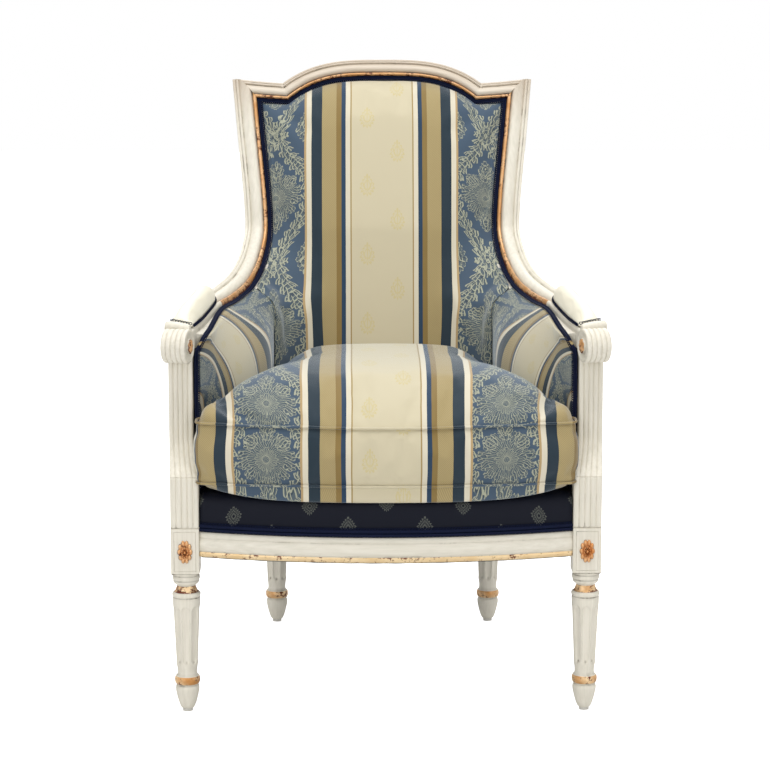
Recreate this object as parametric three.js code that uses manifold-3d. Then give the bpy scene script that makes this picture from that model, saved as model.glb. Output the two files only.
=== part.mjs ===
// Bergere armchair: a painted show-wood frame with closed padded arms and a loose seat cushion.
// Millimetres, +Z up. +X is to the right as seen from the front, +Y runs to the back of the chair.
// The origin is on the floor, under the middle of the chair.
import * as THREE from "three";
import { mergeVertices } from "three/addons/utils/BufferGeometryUtils.js";
import Module from "manifold-3d";

const wasm = await Module();
wasm.setup();

// Driving sizes
const clearance = 0.3; // gap between faces that touch
const overrun = 6; // how far a cut runs past the face it opens
const frontLegHalfSpacing = 318;
const rearLegHalfSpacing = 192;
const frontLegY = -288.65;
const legDepth = 555; // front leg axis to rear leg axis
const blockWidth = 45;
const blockBottom = 228;
const blockTop = 302;
const railThickness = 30;
const railUnderside = 256;
const railTop = 330;
const seatTop = 360; // the sprung deck that the cushion lies on
const frontRailBow = 46.5;
const armFrontHeight = 618;
const waistHeight = 723.5;
const backRise = 224.5; // waist to the corner of the crest
const frameWidth = 40; // face of the stiles and arms
const crestWidth = 29;
const frameThickness = 34;
const ledgeWidth = 12; // tacking ledge inside the show-wood, where the double piping lies
const ledgeDepth = 12;

const cornerHeight = waistHeight + backRise;
const rearLegY = frontLegY + legDepth;
const blockHalf = blockWidth / 2;
const frontBlockInnerX = frontLegHalfSpacing - blockHalf;
const rearBlockInnerX = rearLegHalfSpacing - blockHalf;

// Materials
const finish = (colour, roughness, metalness = 0) =>
  new THREE.MeshStandardMaterial({ color: colour, roughness, metalness });
const paintedWood = finish(0xe0dac6, 0.55);
const bareBeech = finish(0xc9a877, 0.7);
const giltCarving = finish(0xc68c52, 0.4, 0.6);
const stripedDamask = finish(0xb9ae8c, 0.6);
const navySatin = finish(0x23283a, 0.6);
const navyCord = finish(0x1d2438, 0.8);
const creamSatin = finish(0xefe8d2, 0.6);
const juteWebbing = finish(0x9c8460, 0.9);
const blackCambric = finish(0x1c1c1e, 0.95);
const zincSteel = finish(0xa8a8a8, 0.35, 0.9);
const glidePlastic = finish(0xdcdcd6, 0.5);

const chair = new THREE.Group();

function add(name, geometry, material) {
  const mesh = new THREE.Mesh(geometry, material);
  mesh.name = name;
  chair.add(mesh);
  return mesh;
}

// A pair of pieces, right and left: the left one is the right one turned over in the plane X = 0.
function addPair(name, geometry, material) {
  add(`${name}_right`, geometry, material);
  add(`${name}_left`, mirrored(geometry), material);
}

// Vector helpers
const vec = (x, y, z) => new THREE.Vector3(x, y, z);
const up = vec(0, 0, 1);
const mix = (a, b, share) => a + (b - a) * share;
const degrees = THREE.MathUtils.degToRad;

// Geometry helpers
function fromTriangles(points, triangles) {
  const geometry = new THREE.BufferGeometry();
  geometry.setAttribute(
    "position",
    new THREE.Float32BufferAttribute(points.flatMap((p) => [p.x, p.y, p.z]), 3),
  );
  geometry.setIndex(triangles.flat());
  return signedVolume(geometry) < 0 ? turnedOver(geometry) : geometry;
}

function signedVolume(geometry) {
  const position = geometry.getAttribute("position");
  const index = geometry.index.array;
  const corner = [vec(0, 0, 0), vec(0, 0, 0), vec(0, 0, 0)];
  let volume = 0;
  for (let i = 0; i < index.length; i += 3) {
    corner.forEach((c, k) => c.fromBufferAttribute(position, index[i + k]));
    volume += corner[0].dot(corner[1].clone().cross(corner[2])) / 6;
  }
  return volume;
}

function turnedOver(geometry) {
  const index = Array.from(geometry.index.array);
  for (let i = 0; i < index.length; i += 3) {
    [index[i + 1], index[i + 2]] = [index[i + 2], index[i + 1]];
  }
  geometry.setIndex(index);
  return geometry;
}

function mirrored(geometry) {
  const copy = geometry.clone();
  copy.applyMatrix4(new THREE.Matrix4().makeScale(-1, 1, 1));
  return turnedOver(copy);
}

// Rings of equal length, joined side by side. Flat caps close an open run, and follow the profile.
function skinned(rings, profile, closed = false) {
  const count = rings[0].length;
  const triangles = [];
  const spans = closed ? rings.length : rings.length - 1;
  for (let r = 0; r < spans; r++) {
    const next = (r + 1) % rings.length;
    for (let k = 0; k < count; k++) {
      const a = r * count + k;
      const b = r * count + ((k + 1) % count);
      const c = next * count + ((k + 1) % count);
      const d = next * count + k;
      triangles.push([a, b, c], [a, c, d]);
    }
  }
  if (!closed) {
    const caps = THREE.ShapeUtils.triangulateShape(profile, []);
    const last = (rings.length - 1) * count;
    const clockwise = THREE.ShapeUtils.area(profile) < 0;
    for (const [a, b, c] of caps) {
      const first = clockwise ? [a, b, c] : [a, c, b];
      triangles.push(first, clockwise ? [c + last, b + last, a + last] : [a + last, b + last, c + last]);
    }
  }
  return windingChecked(rings.flat(), triangles, rings, closed);
}

// The cap triangles above may be wound against the sides, so both ways are tried.
function windingChecked(points, triangles, rings, closed) {
  if (closed) return fromTriangles(points, triangles);
  const sideCount = (rings.length - 1) * rings[0].length * 2;
  const sides = triangles.slice(0, sideCount);
  const caps = triangles.slice(sideCount);
  const edges = new Set(sides.flatMap(([a, b, c]) => [`${a},${b}`, `${b},${c}`, `${c},${a}`]));
  const clash = caps.some(([a, b, c]) =>
    [`${a},${b}`, `${b},${c}`, `${c},${a}`].some((edge) => edges.has(edge)),
  );
  const turned = clash ? caps.map(([a, b, c]) => [a, c, b]) : caps;
  return fromTriangles(points, [...sides, ...turned]);
}

// A profile carried through stations. Each station has an origin and the two directions of the section.
function swept(profile, stations, closed = false) {
  const flat = profile.map(([u, v]) => new THREE.Vector2(u, v));
  const rings = stations.map(({ origin, across, out }) =>
    profile.map(([u, v]) =>
      origin.clone().addScaledVector(across, u).addScaledVector(out, v),
    ),
  );
  return skinned(rings, flat, closed);
}

// A slab between two grids of points, each rows x columns.
function slab(front, back) {
  const rows = front.length;
  const columns = front[0].length;
  const points = [...front.flat(), ...back.flat()];
  const at = (side, r, c) => side * rows * columns + r * columns + c;
  const triangles = [];
  const quad = (a, b, c, d) => triangles.push([a, b, c], [a, c, d]);
  for (let r = 0; r < rows - 1; r++) {
    for (let c = 0; c < columns - 1; c++) {
      quad(at(0, r, c), at(0, r, c + 1), at(0, r + 1, c + 1), at(0, r + 1, c));
      quad(at(1, r, c), at(1, r + 1, c), at(1, r + 1, c + 1), at(1, r, c + 1));
    }
  }
  for (let c = 0; c < columns - 1; c++) {
    quad(at(0, 0, c), at(1, 0, c), at(1, 0, c + 1), at(0, 0, c + 1));
    quad(at(0, rows - 1, c + 1), at(1, rows - 1, c + 1), at(1, rows - 1, c), at(0, rows - 1, c));
  }
  for (let r = 0; r < rows - 1; r++) {
    quad(at(0, r + 1, 0), at(1, r + 1, 0), at(1, r, 0), at(0, r, 0));
    quad(at(0, r, columns - 1), at(1, r, columns - 1), at(1, r + 1, columns - 1), at(0, r + 1, columns - 1));
  }
  return fromTriangles(points, triangles);
}

// A closed pile of rings with a point at each end, such as a cushion.
function ringPile(rings, firstTip, lastTip) {
  const count = rings[0].length;
  const points = [...rings.flat(), firstTip, lastTip];
  const first = rings.length * count;
  const last = first + 1;
  const triangles = [];
  for (let r = 0; r < rings.length - 1; r++) {
    for (let k = 0; k < count; k++) {
      const j = (k + 1) % count;
      const [a, b, c, d] = [r * count + k, r * count + j, (r + 1) * count + j, (r + 1) * count + k];
      triangles.push([a, b, c], [a, c, d]);
    }
  }
  for (let k = 0; k < count; k++) {
    const j = (k + 1) % count;
    triangles.push([first, j, k]);
    triangles.push([last, (rings.length - 1) * count + k, (rings.length - 1) * count + j]);
  }
  return fromTriangles(points, triangles);
}

// An upright prism over a plan outline.
function prism(outline, bottom, top) {
  const flat = outline.map(([x, y]) => new THREE.Vector2(x, y));
  const ring = (z) => outline.map(([x, y]) => vec(x, y, z));
  return skinned([ring(bottom), ring(top)], flat);
}

function box(x0, x1, y0, y1, z0, z1) {
  const geometry = new THREE.BoxGeometry(Math.abs(x1 - x0), Math.abs(y1 - y0), Math.abs(z1 - z0));
  geometry.translate((x0 + x1) / 2, (y0 + y1) / 2, (z0 + z1) / 2);
  return geometry;
}

// A round bar between two points.
function bar(from, to, radius, sides = 12) {
  const length = from.distanceTo(to);
  const geometry = new THREE.CylinderGeometry(radius, radius, length, sides);
  const turn = new THREE.Quaternion().setFromUnitVectors(
    vec(0, 1, 0),
    to.clone().sub(from).normalize(),
  );
  geometry.applyQuaternion(turn);
  geometry.translate(...from.clone().add(to).multiplyScalar(1 / 2).toArray());
  return geometry;
}

// Joins and cuts
function solid(geometry) {
  const bare = geometry.clone();
  bare.deleteAttribute("normal");
  bare.deleteAttribute("uv");
  const merged = mergeVertices(bare);
  return new wasm.Manifold(
    new wasm.Mesh({
      numProp: 3,
      vertProperties: new Float32Array(merged.getAttribute("position").array),
      triVerts: new Uint32Array(merged.index.array),
    }),
  );
}

function geometryOf(manifold) {
  const mesh = manifold.getMesh();
  const geometry = new THREE.BufferGeometry();
  const position = new Float32Array(mesh.numVert * 3);
  for (let i = 0; i < mesh.numVert; i++) {
    position.set(mesh.vertProperties.subarray(i * mesh.numProp, i * mesh.numProp + 3), i * 3);
  }
  geometry.setAttribute("position", new THREE.BufferAttribute(position, 3));
  geometry.setIndex(Array.from(mesh.triVerts));
  return geometry;
}

const joined = (...parts) => geometryOf(parts.map(solid).reduce((a, b) => a.add(b)));
const cut = (whole, ...tools) =>
  geometryOf(tools.map(solid).reduce((a, b) => a.subtract(b), solid(whole)));

// Guide lines of the show-wood frame, for the right-hand side. The face runs from the arm's front,
// over the sweep, past the waist and up to the corner of the crest.
const armFrontOut = 8.5; // outside the front leg's axis
const armFrontBack = 10; // behind it
const waistOut = 31; // outside the rear leg's axis
const waistFront = 27.5; // in front of it
const cornerOut = 20.2; // outside the waist
const armFrontX = frontLegHalfSpacing + armFrontOut;
const armFrontY = frontLegY + armFrontBack;
const waistX = rearLegHalfSpacing + waistOut;
const waistY = rearLegY - waistFront;
const cornerX = waistX + cornerOut;
const backLean = degrees(17);
const leanTangent = Math.tan(backLean);
const cornerY = waistY + (cornerHeight - waistHeight) * leanTangent;

// Shares of the run from the waist to the arm's front (x), and from the front to the waist (y, z).
const sweepShares = [
  [1, 0, 0],
  [0.85, 0.174, 0.057],
  [0.662, 0.406, 0.18],
  [0.454, 0.599, 0.218],
  [0.242, 0.763, 0.336],
  [0.111, 0.87, 0.531],
  [0.034, 0.95, 0.773],
  [0, 1, 1],
];
// Shares of the run from the waist to the corner.
const stileShares = [
  [0.12, 0.215, 0.227],
  [0.39, 0.47, 0.47],
  [0.686, 0.715, 0.715],
  [1, 1, 1],
];
// How the face lies at each guide point: its turn in plan and its roll, in degrees.
const faceAngles = [
  [14, 8],
  [12, 15],
  [12, 18],
  [13, 24],
  [12, 26],
  [6, 20],
  [2, 12],
  [0, 5],
  [0, 0],
  [0, 0],
  [0, 0],
  [0, 0],
];

const guidePoints = [
  ...sweepShares.map(([x, y, z]) =>
    vec(mix(waistX, armFrontX, x), mix(armFrontY, waistY, y), mix(armFrontHeight, waistHeight, z)),
  ),
  ...stileShares.map(([x, y, z]) =>
    vec(mix(waistX, cornerX, x), mix(waistY, cornerY, y), mix(waistHeight, cornerHeight, z)),
  ),
];
const centreLine = new THREE.CatmullRomCurve3(guidePoints);
const faceLine = new THREE.CatmullRomCurve3(
  faceAngles.map(([turn, roll]) => {
    const [a, r] = [degrees(turn), degrees(roll)];
    return vec(Math.cos(r) * Math.cos(a), Math.cos(r) * Math.sin(a), Math.sin(r));
  }),
);
const guideCount = guidePoints.length - 1;
const jointAt = 4 / guideCount; // where the arm meets the stile
const padEndAt = 2.2 / guideCount;

// The frame of the section at a place along the guide: origin on the inner edge of the face.
function sectionAt(t, shift = 0) {
  const centre = centreLine.getPoint(t);
  const tangent = centreLine.getTangent(t);
  const lateral = faceLine.getPoint(t);
  const out = lateral.clone().setZ(0).cross(tangent).normalize();
  const across = lateral.clone().addScaledVector(tangent, -lateral.dot(tangent)).normalize();
  const origin = centre.addScaledVector(across, -frameWidth / 2).addScaledVector(tangent, shift);
  return { origin, across, out, tangent };
}
const placeOn = (t, u, v) => {
  const { origin, across, out } = sectionAt(t);
  return origin.addScaledVector(across, u).addScaledVector(out, v);
};

// Section of the moulded frame, from the inner edge outwards. Shares of the face's width and of the
// frame's thickness. The ledge stands inside the inner edge.
const mouldingShares = [
  [0, -0.26],
  [0.02, -0.14],
  [0.08, -0.09],
  [0.14, -0.14],
  [0.17, -0.24],
  [0.21, -0.1],
  [0.32, -0.01],
  [0.5, -0.03],
  [0.68, -0.12],
  [0.72, -0.18],
  [0.76, -0.1],
  [0.83, -0.1],
  [0.88, -0.2],
  [1, -0.22],
];
function frameProfile(width, grow = 0) {
  return [
    [-ledgeWidth - grow, -frameThickness - grow],
    [-ledgeWidth - grow, -ledgeDepth + grow],
    [0, -ledgeDepth + grow],
    ...mouldingShares.map(([u, v]) => [width * u, frameThickness * v + grow]),
    [width + grow, -frameThickness - grow],
  ];
}

// Corner of the crest: the crest and the stile meet on a mitre that runs up and outwards.
const innerCorner = sectionAt(1).origin;
const leanUp = vec(0, Math.sin(backLean), Math.cos(backLean));
const leanFront = vec(0, -Math.cos(backLean), Math.sin(backLean));
const right = vec(1, 0, 0);
const onBack = (x, height, front = 0) =>
  vec(x, innerCorner.y, innerCorner.z).addScaledVector(leanUp, height).addScaledVector(leanFront, front);
const mitreRun = crestWidth; // the mitre's reach sideways
const mitreRise = 32.4;

// Back stile with the rear post below it
const stileSteps = 18;
const stileOvershoot = mitreRise + overrun;
const postTopDrop = 11.5; // below the waist
const postTopBack = 19; // behind the waist's face
const postTopDepth = 27;
const postTopHeight = waistHeight - postTopDrop;
const postTopX = waistX + clearance;
const postTopY = waistY + postTopBack;
const postTopWidth = 36;
const rearTenonRadius = 7;
const rearTenonLength = 20;

function stileSections(gap) {
  const sections = [];
  for (let i = 0; i <= stileSteps; i++) {
    sections.push(sectionAt(mix(jointAt, 1, i / stileSteps), i ? 0 : gap));
  }
  return sections;
}

function stile() {
  const sections = stileSections(clearance / 2);
  const corner = sectionAt(1);
  sections.push({ ...corner, origin: corner.origin.clone().addScaledVector(corner.tangent, stileOvershoot) });
  const moulded = swept(frameProfile(frameWidth), sections);
  const post = postRings();
  // the crest's mitre is cut away, and the top is cut level
  const far = frameWidth * 3;
  const depth = frameThickness * 3;
  const wedge = [
    [innerCorner.x - mitreRun, -mitreRise],
    [innerCorner.x + mitreRun * 2, mitreRise * 2],
    [innerCorner.x - far, mitreRise * 2],
    [innerCorner.x - far, -mitreRise],
  ];
  const topCut = [
    [innerCorner.x - far, mitreRise],
    [innerCorner.x + far, mitreRise],
    [innerCorner.x + far, mitreRise + far],
    [innerCorner.x - far, mitreRise + far],
  ];
  const onPlane = (outline) =>
    swept(
      outline,
      [-depth, depth].map((front) => ({
        origin: vec(0, innerCorner.y, innerCorner.z).addScaledVector(leanFront, front),
        across: right,
        out: leanUp,
      })),
    );
  return cut(joined(moulded, post), onPlane(wedge), onPlane(topCut));
}

function postRings() {
  const rectangle = (x, y, z, width, depth) => [
    vec(x - width / 2, y - depth / 2, z),
    vec(x + width / 2, y - depth / 2, z),
    vec(x + width / 2, y + depth / 2, z),
    vec(x - width / 2, y + depth / 2, z),
  ];
  const foot = blockTop + clearance;
  const bend = (share) =>
    rectangle(
      mix(rearLegHalfSpacing, postTopX, share ** 1.4),
      mix(rearLegY, postTopY, share ** 0.8),
      mix(foot, postTopHeight, share),
      mix(blockWidth, postTopWidth, share),
      mix(blockWidth, postTopDepth, share),
    );
  const shares = [0, 0.15, 0.35, 0.55, 0.75, 0.9, 1];
  const flat = [[0, 0], [1, 0], [1, 1], [0, 1]].map(([u, v]) => new THREE.Vector2(u, v));
  const shaft = skinned(shares.map(bend), flat);
  const dowel = bar(
    vec(rearLegHalfSpacing, rearLegY, blockTop - rearTenonLength),
    vec(rearLegHalfSpacing, rearLegY, blockTop + overrun),
    rearTenonRadius,
  );
  return joined(shaft, dowel);
}

// Crest rail: an arch between two ears, swept in the plane of the back
const earInset = 55.6; // from the inner corner to the ear
const earX = innerCorner.x - earInset;
const earDrop = 4.2; // below the inner corner
const archRise = 39.7; // above the inner corner
const archPower = 3.3;
const archSteps = 11;

function crestEdge() {
  const half = [];
  for (let i = archSteps; i > 0; i--) {
    const share = (i / archSteps) ** 0.75;
    half.push([earX * share, archRise - (archRise + earDrop) * share ** archPower]);
  }
  const rightHalf = [[innerCorner.x - clearance, 0], ...half];
  const leftHalf = rightHalf.map(([x, h]) => [-x, h]).reverse();
  return [...rightHalf, [0, archRise], ...leftHalf];
}

function crestSections() {
  const edge = crestEdge();
  const along = (a, b) => new THREE.Vector2(b[0] - a[0], b[1] - a[1]).normalize();
  return edge.map((point, i) => {
    const origin = onBack(point[0], point[1]);
    const atEnd = i === 0 || i === edge.length - 1;
    const side = Math.sign(point[0]);
    let mitre = new THREE.Vector2(side * mitreRun, mitreRise).divideScalar(crestWidth);
    if (!atEnd) {
      const before = along(edge[i - 1], point);
      const after = along(point, edge[i + 1]);
      const middle = before.clone().add(after).normalize();
      const normal = new THREE.Vector2(middle.y, -middle.x);
      mitre = normal.divideScalar(Math.abs(before.dot(middle)));
    }
    const across = right.clone().multiplyScalar(mitre.x).addScaledVector(leanUp, mitre.y);
    return { origin, across, out: leanFront };
  });
}

function crestRail() {
  return swept(frameProfile(crestWidth), crestSections());
}

// Legs: a turned and fluted shaft under a square block
const legRadius = 22;
const fluteDepth = 2.4;
const fluteCount = 12;
const glideHeight = 5;
const glideRadius = 8;
// Shares of the leg's radius and of the block's height above the floor. The last column is 1 on the flutes.
const legShares = [
  [0.43, 0.022, 0],
  [0.66, 0.1, 0],
  [0.8, 0.142, 0],
  [0.73, 0.176, 0],
  [0.86, 0.186, 0],
  [0.86, 0.236, 0],
  [0.7, 0.25, 0],
  [0.73, 0.328, 0],
  [0.74, 0.35, 1],
  [0.93, 0.765, 1],
  [0.95, 0.79, 0],
  [0.99, 0.818, 0],
  [1, 0.85, 0],
  [0.8, 0.865, 0],
  [0.65, 0.905, 0],
  [0.93, 0.94, 0],
  [0.93, 1.02, 0],
];

function turnedLeg(x, y) {
  const segments = fluteCount * 2;
  const floorGap = glideHeight + clearance;
  const ring = ([radius, height, fluted], lift) => {
    const points = [];
    for (let k = 0; k < segments; k++) {
      const angle = (2 * Math.PI * (k + 1 / 2)) / segments;
      const r = legRadius * radius - (k % 2) * fluted * fluteDepth;
      points.push(vec(x + r * Math.cos(angle), y + r * Math.sin(angle), lift ?? blockBottom * height));
    }
    return points;
  };
  const rings = legShares.map((share, i) => ring(share, i ? undefined : floorGap));
  return ringPile(
    rings,
    vec(x, y, floorGap),
    vec(x, y, blockBottom * legShares[legShares.length - 1][1]),
  );
}

function legBlock(x, y) {
  return box(x - blockHalf, x + blockHalf, y - blockHalf, y + blockHalf, blockBottom, blockTop);
}

// Seat rails, with tenons that enter the leg blocks
const tenonLength = 13;
const tenonThickness = 10;
const tenonBottom = 264;
const tenonTop = 296;
const frontRailInset = 3; // the rail's face stands back from the block's face
const sideFrontY = frontLegY + blockHalf + clearance;
const sideRearY = rearLegY - blockHalf - clearance;
const sideSlope = (rearLegHalfSpacing - frontLegHalfSpacing) / (sideRearY - sideFrontY);
const sideStretch = Math.hypot(1, sideSlope);
const rearRailY = rearLegY + blockHalf - frontRailInset - railThickness / 2;
const showHeight = 40; // moulded part of the rail below the cover
const rebateDepth = 9;
// Shares of the moulded height and of the rail's thickness, bottom to top
const railShares = [
  [0, 0.93],
  [0.2, 0.93],
  [0.21, 0.87],
  [0.26, 0.97],
  [0.38, 1],
  [0.5, 0.97],
  [0.54, 0.89],
  [0.6, 0.96],
  [0.72, 0.97],
  [0.8, 0.9],
  [0.83, 0.84],
  [1, 0.84],
];
const railProfile = [
  [0, railUnderside],
  ...railShares.map(([height, out]) => [railThickness * out, railUnderside + showHeight * height]),
  [railThickness - rebateDepth, railUnderside + showHeight],
  [railThickness - rebateDepth, railTop],
  [0, railTop],
];
const frontRailEndX = frontBlockInnerX - clearance;
const frontRailFaceY = (x) =>
  frontLegY - blockHalf + frontRailInset - frontRailBow * (1 - (x / frontRailEndX) ** 2);
const frontRailSlope = (x) => (2 * frontRailBow * x) / frontRailEndX ** 2;
const frontRailBackY = (x) => frontRailFaceY(x) + railThickness * Math.hypot(1, frontRailSlope(x));
const sideOffset = blockHalf - frontRailInset - (railThickness / 2) * sideStretch;
const sideRailX = (y) => frontLegHalfSpacing + sideOffset + (y - sideFrontY) * sideSlope;

function tenon(x0, x1, y0, y1, grow = 0) {
  return box(
    Math.min(x0, x1) - grow,
    Math.max(x0, x1) + grow,
    Math.min(y0, y1) - grow,
    Math.max(y0, y1) + grow,
    tenonBottom - grow,
    tenonTop + grow,
  );
}
const frontTenonY = frontRailFaceY(frontRailEndX) + railThickness / 2;

const frontTenon = (grow) =>
  tenon(
    frontRailEndX - overrun,
    frontRailEndX + tenonLength,
    frontTenonY - tenonThickness / 2,
    frontTenonY + tenonThickness / 2,
    grow,
  );
const sideFrontTenon = (grow) => {
  const x = sideRailX(sideFrontY);
  return tenon(x - tenonThickness / 2, x + tenonThickness / 2, sideFrontY + overrun, sideFrontY - tenonLength, grow);
};
const sideRearTenon = (grow) => {
  const x = sideRailX(sideRearY);
  return tenon(x - tenonThickness / 2, x + tenonThickness / 2, sideRearY - overrun, sideRearY + tenonLength, grow);
};
const rearRailEndX = rearBlockInnerX - clearance;
const rearTenon = (grow) =>
  tenon(
    rearRailEndX - overrun,
    rearRailEndX + tenonLength,
    rearRailY - tenonThickness / 2,
    rearRailY + tenonThickness / 2,
    grow,
  );

function frontRail() {
  const steps = 14;
  const stations = [];
  for (let i = 0; i <= steps; i++) {
    const x = mix(-frontRailEndX, frontRailEndX, i / steps);
    const slope = frontRailSlope(x);
    const atEnd = i === 0 || i === steps;
    const stretch = Math.hypot(1, slope);
    const across = atEnd ? vec(0, -stretch, 0) : vec(slope, -1, 0).divideScalar(stretch);
    const origin = vec(x, frontRailFaceY(x), 0).addScaledVector(across, -railThickness);
    stations.push({ origin, across, out: up });
  }
  const rail = swept(railProfile, stations);
  return joined(rail, frontTenon(0), mirrored(asIndexed(frontTenon(0))));
}

function asIndexed(geometry) {
  const bare = geometry.clone();
  bare.deleteAttribute("normal");
  bare.deleteAttribute("uv");
  return mergeVertices(bare);
}

function sideRail() {
  const across = right.clone().multiplyScalar(sideStretch);
  const stations = [sideFrontY, sideRearY].map((y) => ({
    origin: vec(sideRailX(y), y, 0).addScaledVector(across, -railThickness / 2),
    across,
    out: up,
  }));
  return joined(swept(railProfile, stations), sideFrontTenon(0), sideRearTenon(0));
}

function rearRail() {
  const stations = [-rearRailEndX, rearRailEndX].map((x) => ({
    origin: vec(x, rearRailY - railThickness / 2, 0),
    across: vec(0, 1, 0),
    out: up,
  }));
  return joined(swept(railProfile, stations), rearTenon(0), mirrored(asIndexed(rearTenon(0))));
}

// Corner blocks inside the rails, each with its screw into the leg
const cornerBlockBottom = railUnderside + clearance;
const cornerBlockTop = tenonTop;
const cornerBlockReach = 60;
const screwRadius = 2.5;
const screwHeadRadius = 5;
const screwHeadLength = 4;
const screwGrip = 9; // how far the screw enters the leg block
const screwSetback = 48; // from the leg's corner back to the head
const screwHeight = (cornerBlockBottom + cornerBlockTop) / 2;

function frontCornerOutline() {
  const endX = frontBlockInnerX - clearance;
  const blockRearY = frontLegY + blockHalf + clearance;
  const railInner = (y) => sideRailX(y) - (railThickness / 2) * sideStretch - clearance;
  const nearX = endX - cornerBlockReach;
  const frontLine = (x) => [x, frontRailBackY(x) + clearance * 3];
  return [
    frontLine(endX),
    [endX, blockRearY],
    [railInner(blockRearY), blockRearY],
    [railInner(blockRearY + cornerBlockReach), blockRearY + cornerBlockReach],
    frontLine(nearX),
    frontLine((nearX + endX) / 2),
  ];
}

function rearCornerOutline() {
  const endX = rearBlockInnerX - clearance;
  const blockFrontY = rearLegY - blockHalf - clearance;
  const railFrontY = rearRailY - railThickness / 2 - clearance;
  const railInner = (y) => sideRailX(y) - (railThickness / 2) * sideStretch - clearance;
  return [
    [endX, railFrontY],
    [endX - cornerBlockReach, railFrontY],
    [railInner(blockFrontY - cornerBlockReach), blockFrontY - cornerBlockReach],
    [railInner(blockFrontY), blockFrontY],
    [endX, blockFrontY],
  ];
}

function screw(cornerX0, cornerY0, directionX, directionY, grow = 0) {
  const direction = vec(directionX, directionY, 0).normalize();
  const leg = vec(cornerX0, cornerY0, screwHeight);
  const tip = leg.clone().addScaledVector(direction, screwGrip + grow);
  const head = leg.clone().addScaledVector(direction, -screwSetback);
  const headEnd = head.clone().addScaledVector(direction, -screwHeadLength - grow * (overrun + cornerBlockReach));
  const neck = head.clone().addScaledVector(direction, grow);
  return joined(
    bar(headEnd, tip, screwRadius + grow, 8),
    bar(headEnd, neck, screwHeadRadius + grow, 8),
  );
}
const frontScrew = (grow) =>
  screw(frontBlockInnerX, frontLegY + blockHalf, 1, -1, grow);
const rearScrew = (grow) => screw(rearBlockInnerX, rearLegY - blockHalf, 1, 1, grow);

// Arm posts: a reeded support that sweeps back above the leg block
const armPostTenonRadius = 7;
const armPostTenonLength = 20;
const armPostFoot = 82.5; // length of the straight foot
const armPostSweep = 60.5; // height of the sweep above it
const armPostSetback = 34;
const armPostDepth = 38;
const armPostWidth = 38;
const armPostOuter = 25; // outside the leg's axis
const armPostCrease = blockTop + armPostFoot;
const armPostSweepTop = armPostCrease + armPostSweep;
const armPostOuterX = frontLegHalfSpacing + armPostOuter;
const armPostInnerX = armPostOuterX - armPostWidth;
const reedCount = 5;
const reedDepth = 2.2;

// The section of the arm post at a height: front and back, inner and outer.
function postSection(z) {
  const share = THREE.MathUtils.clamp((z - armPostCrease) / (armPostSweepTop - armPostCrease), 0, 1);
  const ease = Math.sin((share * Math.PI) / 2);
  return {
    front: frontLegY - blockHalf + armPostSetback * ease,
    back: frontLegY + mix(blockHalf, armPostSetback - blockHalf + armPostDepth, ease),
    inner: mix(frontBlockInnerX, armPostInnerX, ease),
    outer: mix(frontLegHalfSpacing + blockHalf, armPostOuterX, ease),
  };
}

// Shares across one reed, and how far each point stands out of the groove
const reedShares = [
  [0, 0],
  [0.22, 0.85],
  [0.78, 0.85],
];

function armPostShaft(grow = 0) {
  const foot = blockTop + clearance;
  const heights = [foot, armPostCrease];
  const sweepSteps = 6;
  for (let i = 1; i <= sweepSteps; i++) {
    heights.push(mix(armPostCrease, armPostSweepTop, i / sweepSteps));
  }
  heights.push(armFrontHeight - frameThickness / 2);
  const ring = (z) => {
    const { front, back, inner, outer } = postSection(z);
    const points = [];
    for (let r = 0; r < reedCount; r++) {
      for (const [across, out] of reedShares) {
        points.push(vec(mix(inner, outer, (r + across) / reedCount), front + reedDepth * (1 - out), z));
      }
    }
    points.push(vec(outer, front + reedDepth, z), vec(outer, back + grow, z), vec(inner, back + grow, z));
    return points;
  };
  const flat = ring(foot).map((p) => new THREE.Vector2(p.x, p.y));
  return skinned(heights.map(ring), flat);
}

function armPost() {
  const dowel = bar(
    vec(frontLegHalfSpacing, frontLegY, blockTop - armPostTenonLength),
    vec(frontLegHalfSpacing, frontLegY, blockTop + overrun),
    armPostTenonRadius,
  );
  return cut(joined(armPostShaft(), dowel), armSweep(clearance), volute(clearance));
}

// Arms: the moulded rail, a cap in front of the pad, and the reeded volute
const armSteps = 12;
const voluteRadius = 27;
const voluteWidth = 40;
const voluteTurn = degrees(14);
const voluteDrop = 26; // below the arm's face
const voluteFront = 19; // in front of the arm's end
const voluteX = armFrontX - clearance;
const voluteY = armFrontY - voluteFront;
const voluteHeight = armFrontHeight - voluteDrop;
const voluteSides = 14;
const capLength = 16;
const capHeight = 7.5;
const capWidth = 40;

function armSweep(grow = 0) {
  const sections = [];
  for (let i = 0; i <= armSteps; i++) {
    sections.push(sectionAt(jointAt * (i / armSteps), i === armSteps ? -clearance / 2 : 0));
  }
  return swept(frameProfile(frameWidth, grow), sections);
}

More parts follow.
